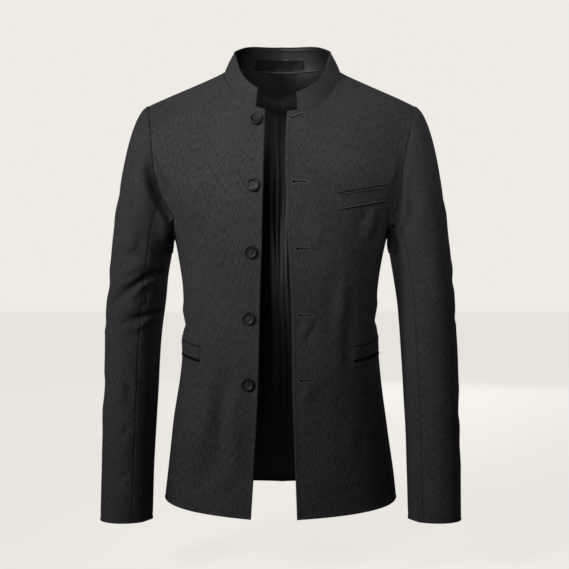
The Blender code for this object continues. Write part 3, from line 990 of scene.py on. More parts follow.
def quad_mesh(name: str, points: Grid, places: Grid, quads: Grid) -> bpy.types.Mesh:
    """Smooth mesh of quads with a UV layer.

    Args:
        name: The mesh's name.
        points: Vertices in millimetres.
        places: One UV place a vertex, in millimetres of cloth.
        quads: Four vertex numbers a face.

    Returns:
        The mesh, in metres.
    """
    mesh = bpy.data.meshes.new(name)
    mesh.from_pydata((points * MM).tolist(), [], quads.tolist())
    layer = mesh.uv_layers.new(name="Cloth")
    layer.data.foreach_set("uv", (places[quads.reshape(-1)] * MM).astype(np.float32).reshape(-1))
    mesh.shade_smooth()
    return mesh


class Graph:
    """Adds and joins the nodes of one node tree."""

    def __init__(self, tree: bpy.types.NodeTree) -> None:
        """Keeps the tree.

        Args:
            tree: A material's, group's or geometry tree.
        """
        self.tree = tree

    def add(self, kind: str, **settings: object) -> bpy.types.Node:
        """A new node with some of its settings.

        Args:
            kind: The node's type.
            **settings: Its properties.

        Returns:
            The node.
        """
        node = self.tree.nodes.new(kind)
        for name, value in settings.items():
            setattr(node, name, value)
        return node

    def join(self, value: object, socket: bpy.types.NodeSocket) -> None:
        """Sets a socket from another node's output or from a plain value.

        Args:
            value: An output socket or a plain value.
            socket: The input.
        """
        if isinstance(value, bpy.types.NodeSocket):
            self.tree.links.new(value, socket)
        else:
            socket.default_value = value

    def math(self, operation: str, *values: object) -> bpy.types.NodeSocket:
        """Output of a math node on sockets or numbers.

        Args:
            operation: The node's operation.
            *values: Sockets or numbers.

        Returns:
            Its output.
        """
        node = self.add("ShaderNodeMath", operation=operation)
        for value, socket in zip(values, node.inputs):
            self.join(value, socket)
        return node.outputs[0]

    def noise(self, vector: object, scale: float, detail: float = 2.0) -> bpy.types.NodeSocket:
        """A noise texture's value.

        Args:
            vector: Where it is read.
            scale: Its scale.
            detail: Its detail.

        Returns:
            Its output.
        """
        node = self.add("ShaderNodeTexNoise")
        self.join(vector, node.inputs["Vector"])
        self.fill(node, {"Scale": scale, "Detail": detail})
        return node.outputs["Fac"]

    def fill(self, node: bpy.types.Node, values: dict[str, object]) -> None:
        """Sets plain values of a node's sockets by their names.

        Args:
            node: The node.
            values: Values by socket name.
        """
        for name, value in values.items():
            self.join(value, node.inputs[name])


def group_tree(
    name: str, inputs: dict[str, str], outputs: dict[str, str]
) -> tuple[bpy.types.NodeTree, Graph]:
    """A shader node group with named sockets and its own graph.

    Args:
        name: The group's name.
        inputs: Socket types by name.
        outputs: Socket types by name.

    Returns:
        The group's tree and its graph.
    """
    tree = bpy.data.node_groups.new(name, "ShaderNodeTree")
    for word, kind in inputs.items():
        tree.interface.new_socket(word, in_out="INPUT", socket_type=kind)
    for word, kind in outputs.items():
        tree.interface.new_socket(word, in_out="OUTPUT", socket_type=kind)
    return tree, Graph(tree)


def weave_group() -> bpy.types.NodeTree:
    """Height of a fine twill weave at a place in the cloth, with floats like slubs and crossing yarns.

    Returns:
        The group.
    """
    sockets = {"Place": "NodeSocketVector", "Pitch": "NodeSocketFloat", "Slub": "NodeSocketFloat"}
    tree, graph = group_tree("Twill Weave", sockets, {"Height": "NodeSocketFloat"})
    given, result = graph.add("NodeGroupInput"), graph.add("NodeGroupOutput")
    parts = graph.add("ShaderNodeSeparateXYZ")
    graph.join(given.outputs["Place"], parts.inputs[0])
    u = graph.math("DIVIDE", parts.outputs["X"], given.outputs["Pitch"])
    v = graph.math("DIVIDE", parts.outputs["Y"], given.outputs["Pitch"])
    wander = graph.math("MULTIPLY", graph.noise(given.outputs["Place"], 260.0), given.outputs["Slub"])
    diagonal = graph.math("ADD", graph.math("ADD", u, v), wander)
    rib = graph.math("SINE", graph.math("MULTIPLY", diagonal, math.tau / 2))
    yarn = graph.math("SINE", graph.math("MULTIPLY", u, math.tau))
    height = graph.math("ADD", graph.math("MULTIPLY", rib, 0.6), graph.math("MULTIPLY", yarn, 0.3))
    graph.join(height, result.inputs["Height"])
    return tree


def melange_group() -> bpy.types.NodeTree:
    """Cloth colour mixed from a dark and a light yarn, uneven along the warp and from place to place.

    Returns:
        The group.
    """
    sockets = {"Place": "NodeSocketVector", "Dark": "NodeSocketColor", "Light": "NodeSocketColor"}
    tree, graph = group_tree("Melange", sockets, {"Color": "NodeSocketColor"})
    given, result = graph.add("NodeGroupInput"), graph.add("NodeGroupOutput")
    stretch = graph.add("ShaderNodeMapping")
    graph.join(given.outputs["Place"], stretch.inputs["Vector"])
    stretch.inputs["Scale"].default_value = (1.0, 0.22, 1.0)
    yarns = graph.noise(stretch.outputs[0], 620.0, 2.0)
    patches = graph.noise(given.outputs["Place"], 14.0, 3.0)
    both = graph.math("ADD", graph.math("MULTIPLY", yarns, 0.8), graph.math("MULTIPLY", patches, 0.2))
    share = graph.math("MULTIPLY", graph.math("SUBTRACT", both, 0.33), 3.0)
    mix = graph.add("ShaderNodeMix", data_type="RGBA")
    graph.join(share, mix.inputs["Factor"])
    graph.join(given.outputs["Dark"], mix.inputs["A"])
    graph.join(given.outputs["Light"], mix.inputs["B"])
    graph.join(mix.outputs["Result"], result.inputs["Color"])
    return tree


@dataclass(frozen=True)
class Cloth:
    """A woven finish: the yarn colours, the weave's pitch and depth in metres, and its nap and gloss."""

    name: str
    dark: tuple[float, float, float, float]
    light: tuple[float, float, float, float]
    roughness: float
    pitch: float
    depth: float
    sheen: float = 0.0
    specular: float = 0.3
    coat: float = 0.0

    def build(self, weave: bpy.types.NodeTree, melange: bpy.types.NodeTree) -> bpy.types.Material:
        """The material, with its weave and yarn colours from the shared groups.

        Args:
            weave: The weave's group.
            melange: The yarn colours' group.

        Returns:
            The material.
        """
        material = bpy.data.materials.new(self.name)
        material.use_nodes = True
        graph = Graph(material.node_tree)
        shader = material.node_tree.nodes["Principled BSDF"]
        place = graph.add("ShaderNodeUVMap", uv_map="Cloth").outputs["UV"]
        colour = graph.add("ShaderNodeGroup", node_tree=melange)
        ribs = graph.add("ShaderNodeGroup", node_tree=weave)
        graph.join(place, colour.inputs["Place"])
        graph.join(place, ribs.inputs["Place"])
        graph.fill(colour, {"Dark": self.dark, "Light": self.light})
        graph.fill(ribs, {"Pitch": self.pitch, "Slub": 0.7})
        graph.join(colour.outputs["Color"], shader.inputs["Base Color"])
        bump = graph.add("ShaderNodeBump")
        bump.inputs["Distance"].default_value = self.depth
        graph.join(ribs.outputs["Height"], bump.inputs["Height"])
        graph.join(bump.outputs["Normal"], shader.inputs["Normal"])
        graph.fill(shader, {"Roughness": self.roughness, "Specular IOR Level": self.specular})
        graph.fill(shader, {"Sheen Weight": self.sheen, "Sheen Roughness": 0.45, "Coat Weight": self.coat})
        return material


@dataclass(frozen=True)
class Gloss:
    """A smooth hard finish with a clear coat and faint clouding inside."""

    name: str
    colour: tuple[float, float, float, float]
    roughness: float
    coat: float
    specular: float

    def build(self) -> bpy.types.Material:
        """The material.

        Returns:
            A new material.
        """
        material = bpy.data.materials.new(self.name)
        material.use_nodes = True
        graph = Graph(material.node_tree)
        shader = material.node_tree.nodes["Principled BSDF"]
        place = graph.add("ShaderNodeTexCoord").outputs["Object"]
        cloud = graph.math("MULTIPLY_ADD", graph.noise(place, 180.0), 0.12, self.roughness - 0.06)
        graph.join(cloud, shader.inputs["Roughness"])
        graph.fill(shader, {"Base Color": self.colour, "Specular IOR Level": self.specular})
        graph.fill(shader, {"Coat Weight": self.coat, "Coat Roughness": 0.06})
        return material


SUITING = Cloth(
    "SuitingCloth", (0.014, 0.014, 0.0145, 1), (0.046, 0.046, 0.047, 1), 0.86, 0.0008, 0.00014, 0.03
)
LINING = Cloth(
    "SatinLining", (0.010, 0.010, 0.011, 1), (0.018, 0.018, 0.020, 1), 0.44, 0.0003, 0.00002, 0.0, 0.5
)
LABEL = Cloth(
    "LabelSatin", (0.005, 0.005, 0.006, 1), (0.008, 0.008, 0.009, 1), 0.26, 0.0003, 0.00001, 0.0, 0.5, 0.3
)
THREAD = Cloth(
    "SewingThread", (0.036, 0.036, 0.037, 1), (0.070, 0.070, 0.072, 1), 0.60, 0.0004, 0.00002, 0.05
)
# Thread brighter than the sewing thread, for the breast welt: its rows along the welt's top and bottom edges
# are partly stitching and partly painted highlights on those edges.
PALE_THREAD_HIGHLIGHT = Cloth(
    "WeltThread", (0.080, 0.080, 0.082, 1), (0.130, 0.130, 0.133, 1), 0.60, 0.0004, 0.00002, 0.05
)
BUTTON = Gloss("ButtonGloss", (0.008, 0.008, 0.009, 1), 0.46, 0.05, 0.3)
# Near-black matte finish: painted shade inside buttonhole slits and pocket mouths, and in the seam above each
# hip welt's band.
SLOT_PAINTED_SHADE = Gloss("SlotShade", (0.0015, 0.0015, 0.0015, 1), 0.90, 0.0, 0.1)


@dataclass
class Finishes:
    """All materials of the jacket, built once."""

    cloth: bpy.types.Material = field(init=False)
    lining: bpy.types.Material = field(init=False)
    label: bpy.types.Material = field(init=False)
    thread: bpy.types.Material = field(init=False)
    pale_thread: bpy.types.Material = field(init=False)
    button: bpy.types.Material = field(init=False)
    # The near-black finish of painted shade in slits, pocket mouths and welt seams.
    slot: bpy.types.Material = field(init=False)

    def __post_init__(self) -> None:
        """Builds the shared groups and then the materials on them."""
        weave, melange = weave_group(), melange_group()
        self.cloth, self.lining, self.label, self.thread, self.pale_thread = (
            finish.build(weave, melange) for finish in (SUITING, LINING, LABEL, THREAD, PALE_THREAD_HIGHLIGHT)
        )
        self.button, self.slot = BUTTON.build(), SLOT_PAINTED_SHADE.build()


def place_piece(
    name: str,
    mesh: bpy.types.Mesh,
    materials: Sequence[bpy.types.Material],
    nodes: Sequence[str] = (),
) -> bpy.types.Object:
    """Puts a finished mesh into the scene as a piece of the jacket.

    Args:
        name: The piece's name.
        mesh: Its mesh, already in place.
        materials: Materials in the order of the mesh's material numbers.
        nodes: CAD nodes that it stands for.

    Returns:
        The object.
    """
    for material in materials:
        mesh.materials.append(material)
    piece = bpy.data.objects.new(name, mesh)
    bpy.context.scene.collection.objects.link(piece)
    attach(piece, ROOT)
    if nodes:
        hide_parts(*nodes)
    LOG.info("%s: %d faces", name, len(mesh.polygons))
    return piece


class StitchPlace(NamedTuple):
    """Middle of one stitch in millimetres, its direction, and the way out of the cloth."""

    point: np.ndarray
    along: np.ndarray
    out: np.ndarray


@dataclass(frozen=True)
class Stitches:
    """Rows of like stitches, laid by a geometry node tree on points that carry their directions."""

    length: float
    width: float
    sink: float = 0.25
    jitter: float = 0.12
    seed: int = 4

    @staticmethod
    def tree() -> bpy.types.NodeTree:
        """The node tree: a round-ended stitch on every point, turned along it and a little uneven.

        Returns:
            The tree, built once.
        """
        name = "Sewn Stitches"
        if name in bpy.data.node_groups:
            return bpy.data.node_groups[name]
        tree = bpy.data.node_groups.new(name, "GeometryNodeTree")
        for word, kind in (
            ("Points", "NodeSocketGeometry"),
            ("Stitch Length", "NodeSocketFloat"),
            ("Thread Width", "NodeSocketFloat"),
            ("Jitter", "NodeSocketFloat"),
            ("Seed", "NodeSocketInt"),
            ("Thread", "NodeSocketMaterial"),
        ):
            tree.interface.new_socket(word, in_out="INPUT", socket_type=kind)
        tree.interface.new_socket("Stitches", in_out="OUTPUT", socket_type="NodeSocketGeometry")
        graph = Graph(tree)
        given, result = graph.add("NodeGroupInput"), graph.add("NodeGroupOutput")
        ball = graph.add("GeometryNodeMeshUVSphere")
        graph.fill(ball, {"Segments": 8, "Rings": 5, "Radius": 0.5})
        shape = graph.add("ShaderNodeCombineXYZ")
        uneven = graph.add("FunctionNodeRandomValue", data_type="FLOAT")
        least = graph.math("SUBTRACT", 1.0, given.outputs["Jitter"])
        most = graph.math("ADD", 1.0, given.outputs["Jitter"])
        floats = [socket for socket in uneven.inputs if socket.type == "VALUE"]
        graph.join(least, floats[0])
        graph.join(most, floats[1])
        graph.join(given.outputs["Seed"], uneven.inputs["Seed"])
        number = next(socket for socket in uneven.outputs if socket.type == "VALUE")
        graph.join(graph.math("MULTIPLY", given.outputs["Stitch Length"], number), shape.inputs["X"])
        graph.join(given.outputs["Thread Width"], shape.inputs["Y"])
        graph.join(given.outputs["Thread Width"], shape.inputs["Z"])
        axes = graph.add("FunctionNodeAxesToRotation", primary_axis="X", secondary_axis="Z")
        for word, socket in (("along", axes.inputs[0]), ("out", axes.inputs[1])):
            stored = graph.add("GeometryNodeInputNamedAttribute", data_type="FLOAT_VECTOR")
            stored.inputs["Name"].default_value = word
            graph.join(stored.outputs["Attribute"], socket)
        spread = graph.add("GeometryNodeInstanceOnPoints")
        graph.join(given.outputs["Points"], spread.inputs["Points"])
        graph.join(ball.outputs["Mesh"], spread.inputs["Instance"])
        graph.join(axes.outputs[0], spread.inputs["Rotation"])
        graph.join(shape.outputs[0], spread.inputs["Scale"])
        real = graph.add("GeometryNodeRealizeInstances")
        graph.join(spread.outputs[0], real.inputs[0])
        soft = graph.add("GeometryNodeSetShadeSmooth")
        graph.join(real.outputs[0], soft.inputs["Geometry"])
        finish = graph.add("GeometryNodeSetMaterial")
        graph.join(soft.outputs[0], finish.inputs["Geometry"])
        graph.join(given.outputs["Thread"], finish.inputs["Material"])
        graph.join(finish.outputs[0], result.inputs[0])
        return tree

    def mesh(self, name: str, places: Sequence[StitchPlace], thread: bpy.types.Material) -> bpy.types.Mesh:
        """Plain mesh of the stitches.

        Args:
            name: The mesh's name.
            places: Where the stitches lie.
            thread: The thread's material.

        Returns:
            The mesh, which takes its material when it is placed.
        """
        seeds = bpy.data.meshes.new(f"{name}_points")
        lifted = [(place.point + place.out * (self.width / 2 - self.sink)) * MM for place in places]
        seeds.from_pydata([tuple(point) for point in lifted], [], [])
        for word in ("along", "out"):
            stored = seeds.attributes.new(word, "FLOAT_VECTOR", "POINT")
            values = np.array([getattr(place, word) for place in places], np.float32)
            stored.data.foreach_set("vector", values.reshape(-1))
        holder = bpy.data.objects.new(f"{name}_points", seeds)
        bpy.context.scene.collection.objects.link(holder)
        tree = self.tree()
        modifier = holder.modifiers.new("Stitches", "NODES")
        modifier.node_group = tree
        sockets = {item.name: item.identifier for item in tree.interface.items_tree if item.in_out == "INPUT"}
        settings = {"Stitch Length": self.length * MM, "Thread Width": self.width * MM}
        settings |= {"Jitter": self.jitter, "Seed": self.seed, "Thread": thread}
        for word, value in settings.items():
            modifier[sockets[word]] = value
        ready = holder.evaluated_get(bpy.context.evaluated_depsgraph_get())
        mesh = bpy.data.meshes.new_from_object(ready)
        mesh.name = name
        mesh.materials.clear()
        bpy.data.objects.remove(holder)
        bpy.data.meshes.remove(seeds)
        return mesh


class Surface:
    """The outer face of some cloth, asked for its points and normals as seen from the front."""

    def __init__(self, shells: Sequence[Shell]) -> None:
        """Builds the search tree.

        Args:
            shells: The cloth to look on.
        """
        points, quads = [], []
        for shell in shells:
            count = shell.grid.shape[0] * shell.grid.shape[1]
            index = np.arange(count).reshape(shell.grid.shape[:2]) + len(points)
            quads += cells(index).tolist()
            points += shell.grid.reshape(-1, 3).tolist()
        self.tree = BVHTree.FromPolygons(points, quads)

    def hit(self, x: float, z: float) -> tuple[np.ndarray, np.ndarray]:
        """Point and outward normal of the cloth behind a place seen from the front.

        Args:
            x: Place across.
            z: Height.

        Returns:
            The point and the normal.
        """
        point, normal, _, _ = self.tree.ray_cast(Vector((x, -400.0, z)), Vector((0, 1, 0)))
        if point is None:
            raise ValueError(f"no cloth at {x:.0f}, {z:.0f}")
        normal = np.array(normal)
        return np.array(point), normal if normal[1] < 0 else -normal

    def nearest(self, point: np.ndarray) -> tuple[np.ndarray, np.ndarray]:
        """Nearest point of the cloth, with the normal there turned away from the middle of the jacket.

        Args:
            point: Where to look from.

        Returns:
            The point and the normal.
        """
        found, normal, _, _ = self.tree.find_nearest(Vector(point.tolist()))
        normal, found = np.array(normal), np.array(found)
        return found, normal if normal @ (found - [0, 0, found[2]]) > 0 else -normal


def sewn_row(points: Sequence[np.ndarray], outs: Sequence[np.ndarray], pitch: float) -> list[StitchPlace]:
    """Stitches at an even pitch along a line of points.

    Args:
        points: The line.
        outs: The way out of the cloth at each point.
        pitch: Distance from one stitch to the next.

    Returns:
        The stitches' places.
    """
    line, outs = np.array(points), np.array(outs)
    lengths = travelled(line)
    at = np.arange(pitch / 2, lengths[-1], pitch)
    reads = ((at, line), (at + 0.4, line), (at - 0.4, line), (at, outs))
    middle, ahead, behind, out = (
        np.stack([np.interp(places, lengths, values[:, k]) for k in range(3)], axis=-1)
        for places, values in reads
    )
    return [StitchPlace(*place) for place in zip(middle, unit(ahead - behind), unit(out))]


@dataclass(frozen=True)
class Dart:
    """A waist dart of a front: the heights it runs between, and how far out it lies at each end."""

    low: float
    high: float
    low_out: float
    high_out: float
    column: int = 7
    let_go: float = -120.0
    hold: float = -200.0

    def lead(self, grid: Grid, fine: int) -> Grid:
        """Slides a front's points along their rows until one column runs down the dart.

        Args:
            grid: The front's grid.
            fine: Columns between two main columns.

        Returns:
            The led grid.
        """
        middle, last = self.column * fine, grid.shape[1] - 1
        led = grid.copy()
        for i, row in enumerate(grid):
            z = row[middle, 2]
            share = np.clip((z - self.low) / (self.high - self.low), 0, 1)
            target = self.low_out + (self.high_out - self.low_out) * share
            found = np.interp(target, np.abs(row[:, 0]), np.arange(last + 1))
            held = float(np.clip((self.let_go - z) / (self.let_go - self.hold), 0, 1))
            found = middle + (found - middle) * held * held * (3 - 2 * held)
            at = np.interp(np.arange(last + 1), [0, middle, last], [0, found, last])
            led[i] = resample(grid[i : i + 1].repeat(2, axis=0), np.zeros(1), at)[0]
        return led

    def line(self, fine: int) -> SewnLine:
        """The dart as a line sewn along its column."""
        return SewnLine(self.column * fine, self.low, self.high)


@dataclass
class SideCloth:
    """The cloth of one side in its folds, with points shared at the seams."""

    side: Side
    form: JacketForm
    creases: Creases
    dart: Dart
    front: Shell = field(init=False)
    back: Shell = field(init=False)
    flank: Shell = field(init=False)
    sleeve: Shell = field(init=False)

    def __post_init__(self) -> None:
        """Draws the flat forms, shares their normals and lifts them into folds."""
        form, side = self.form, self.side
        front, back, flank = form.front_panel(side), form.back_panel(side), form.side_panel(side)
        sleeve = form.sleeve(side, front, back, flank)
        front = self.dart.lead(eased(front, form.front_corner_row, form.fine), form.fine)
        back = eased(back, form.back_middle_rows, form.fine)
        away = sleeve - sleeve.mean(axis=1, keepdims=True)
        facing = (np.array([0, -1.0, 0]), np.array([0, 1.0, 0]), np.array([side.value * 1.0, 0, 0]), away)
        names = ("front", "back", "side", "sleeve")
        shells = [
            Shell(f"{name}_{side.word}", grid, surface_normals(grid, like))
            for name, grid, like in zip(names, (front, back, flank, sleeve), facing)
        ]
        share_normals(shells)
        self.straighten_middle(shells[1])
        lifts = [self.creases.height(Region.BODY, shell.grid, shell.normals) for shell in shells[:3]]
        lifts.append(self.sleeve_lift(shells[3]))
        self.front, self.back, self.flank, self.sleeve = (
            shell.lifted(lift) for shell, lift in zip(shells, lifts)
        )
        self.front.wound()
        self.back.wound()
        share_normals([self.front, self.back, self.flank, self.sleeve])
        self.straighten_middle(self.back)

    def straighten_middle(self, back: Shell) -> None:
        """Turns the normals on the centre back seam straight back, so that both halves agree.

        Args:
            back: This side's half of the back.
        """
        rows = self.form.back_middle_rows + 1
        middle = back.normals[:rows, 0]
        middle[:, 0] = 0.0
        back.normals[:rows, 0] = unit(middle)

    def sleeve_lift(self, sleeve: Shell) -> Grid:
        """Folds of the sleeve, which run over into those of the body at the armhole.

        Args:
            sleeve: The sleeve's cloth.

        Returns:
            The lift of each point.
        """
        region = Region.SLEEVE_RIGHT if self.side is Side.RIGHT else Region.SLEEVE_LEFT
        own = self.creases.height(region, sleeve.grid, sleeve.normals)
        seam = self.creases.height(Region.BODY, sleeve.grid[:1], sleeve.normals[:1])
        t = np.clip(np.arange(sleeve.grid.shape[0]) / (2.2 * self.form.fine), 0, 1)[:, None]
        own_share = t * t * (3 - 2 * t)
        return own * own_share + seam * (1 - own_share)


@dataclass
class BodyPanels:
    """Fronts, backs and side bodies: thin lined shells with turned edges."""

    front_wall: Wall = Wall(free=frozenset({Edge.FIRST_ROW, Edge.FIRST_COLUMN}))
    wall: Wall = Wall(free=frozenset({Edge.FIRST_ROW}))
    facing: float = 72.0
    hem_turn: float = 34.0

    def build(self, cloth: SideCloth, finishes: Finishes) -> dict[str, bpy.types.Object]:
        """Builds one side's panels.

        Args:
            cloth: That side's folded cloth.
            finishes: The jacket's materials.

        Returns:
            The pieces by name.
        """
        trims = (
            (cloth.front, Trim(facing=self.facing, first=self.hem_turn), [cloth.dart.line(cloth.form.fine)]),
            (cloth.back, Trim(first=self.hem_turn), []),
            (cloth.flank, Trim(first=self.hem_turn), []),
        )
        pieces = {}
        for shell, trim, lines in trims:
            wall = self.front_wall if shell is cloth.front else self.wall
            mesh = wall.mesh(shell, trim=trim, lines=lines)
            name = f"visual_{shell.name}"
            materials = [finishes.cloth, finishes.lining]
            piece = place_piece(name, mesh, materials, [shell.name])
            declare_sheet(piece, shell)
            pieces[shell.name] = piece
        return pieces


@dataclass
class Sleeves:
    """Two-piece sleeves, cut along a front and a hind seam."""

    front_step: int
    hind_step: int = 20
    cuff_turn: float = 36.0
    wall: Wall = Wall(free=frozenset({Edge.LAST_ROW}))

    def build(self, cloth: SideCloth, finishes: Finishes) -> dict[str, bpy.types.Object]:
        """Builds one side's top and under sleeve.

        Args:
            cloth: That side's folded cloth.
            finishes: The jacket's materials.

        Returns:
            The pieces by name.
        """
        fine, sleeve = cloth.form.fine, cloth.sleeve
        count = sleeve.grid.shape[1] - 1
        top = list(range(self.front_step * fine, self.hind_step * fine + 1))
        under = [k % count for k in range(self.hind_step * fine, count + self.front_step * fine + 1)]
        pieces = {}
        for word, columns in (("top", top), ("under", under)):
            name = f"{word}_sleeve_{cloth.side.word}"
            part = sleeve.part(slice(None), columns, name)
            shell = Shell(name, part.grid, part.normals)
            mesh = self.wall.mesh(shell, trim=Trim(last=self.cuff_turn))
            piece = place_piece(f"visual_{name}", mesh, [finishes.cloth, finishes.lining], [name])
            declare_sheet(piece, shell)
            pieces[name] = piece
        return pieces


def declare_sheet(piece: bpy.types.Object, shell: Shell) -> None:
    """Logs the size of the cut of cloth that a piece is made of.

    Args:
        piece: The piece in the scene.
        shell: Its cloth.
    """
    width, length, area = shell.size()
    LOG.info("%s is cut %.0f x %.0f mm, %.4f m2", piece.name, width / MM, length / MM, area)


@dataclass
class StandCollar:
    """The stand collar band, cut off at both front ends."""

    right_end: float = -154.5
    left_end: float = 165.8
    columns: int = 132
    rows: int = 11
    sag: float = 5.0
    wall: Wall = Wall(
        thickness=3.0,
        round_over=1.0,
        dip=0.6,
        dip_reach=2.0,
        free=frozenset(Edge) - {Edge.FIRST_ROW},
        pricked_out=4.6,
    )

    def build(self, form: JacketForm, creases: Creases, finishes: Finishes) -> bpy.types.Object:
        """Builds the collar on the neck seam.

        Args:
            form: The worn form.
            creases: The folds.
            finishes: The jacket's materials.

        Returns:
            The piece.
        """
        angles = np.linspace(self.right_end, self.left_end, self.columns)
        shares = np.linspace(0, 1, self.rows)
        grid, normals = form.collar(angles, shares)
        grid[..., 2] -= self.sag * shares[:, None] * np.exp(-(((np.abs(angles) - 74) / 27) ** 2))
        shell = Shell("collar", grid, surface_normals(grid, normals))
        shell = shell.lifted(creases.height(Region.COLLAR, shell.grid, shell.normals))
        mesh = self.wall.mesh(shell, trim=Trim(rim_strips=2))
        piece = place_piece("visual_collar", mesh, [finishes.cloth, finishes.lining], ["collar"])
        declare_sheet(piece, shell)
        return piece


@dataclass(frozen=True)
class LabelSize:
    """One bare label on the inside of the collar: its place along X and share of the collar's height."""

    name: str
    from_x: float
    to_x: float
    low: float = 0.12
    high: float = 0.54


@dataclass
class NeckLabels:
    """The bare neck label and the small tag beside it."""

    sizes: tuple[LabelSize, ...] = (LabelSize("neck_label", -49, 24), LabelSize("size_tag", 25.2, 38))
    lift: float = -3.7
    wall: Wall = Wall(thickness=0.7, gap=0.05, round_over=0.25, dip=0.1)

    def build(self, form: JacketForm, finishes: Finishes) -> list[bpy.types.Object]:
        """Builds both labels against the collar's inner face.

        Args:
            form: The worn form.
            finishes: The jacket's materials.

        Returns:
            The pieces.
        """
        pieces = []
        for size in self.sizes:
            count = max(8, int((size.to_x - size.from_x) / 2))
            angles = np.degrees(np.arcsin(np.linspace(size.from_x, size.to_x, count) / NECK_HALF_WIDTH))
            grid, normals = form.collar(angles, np.linspace(size.low, size.high, 8))
            shell = Shell(size.name, grid, surface_normals(grid, normals))
            ripple = 0.18 * np.sin(shell.grid[..., 0] / 4.1) * np.cos(shell.grid[..., 2] / 7)
            shell = shell.lifted(ripple)
            mesh = self.wall.mesh(shell, self.lift)
            piece = place_piece(f"visual_{size.name}", mesh, [finishes.label], [size.name])
            declare_sheet(piece, shell)
            pieces.append(piece)
        return pieces


@dataclass
class BackLining:
    """The satin lining of the back, loose inside it, in two halves with soft pleats between."""

    wall: Wall = Wall(
        0.6, -0.03, 0.25, 0.2, free=frozenset({Edge.FIRST_COLUMN}), bead=-1.5, bead_out=0.7, pricked=0.0
    )
    cloth: float = 2.2
    ease: float = 1.5
    hem_rows: int = 2

    def build(self, cloth: SideCloth, creases: Creases, finishes: Finishes) -> bpy.types.Object:
        """Builds one half of the lining.

        Args:
            cloth: That side's folded cloth.
            creases: The folds.
            finishes: The jacket's materials.

        Returns:
            The piece.
        """
        form = cloth.form
        rows = slice(self.hem_rows, None)
        columns = slice(0, (form.across - 1) * form.fine + 1)
        shell = cloth.back.part(rows, columns, f"back_lining_{cloth.side.word}")
        down = np.clip(np.arange(shell.grid.shape[0])[::-1, None] / (9 * form.fine), 0, 1)
        loose = down * down * (3 - 2 * down)
        depth = self.cloth + 0.05 + self.ease * loose
        inside = Shell(shell.name, shell.grid - depth[..., None] * shell.normals, shell.normals)
        pleats = creases.height(Region.LINING, inside.grid, -inside.normals)
        inside = inside.lifted(-np.maximum(pleats, 0) * loose)
        mesh = self.wall.mesh(inside)
        piece = place_piece(f"visual_{shell.name}", mesh, [finishes.lining], [shell.name])
        declare_sheet(piece, inside)
        return piece


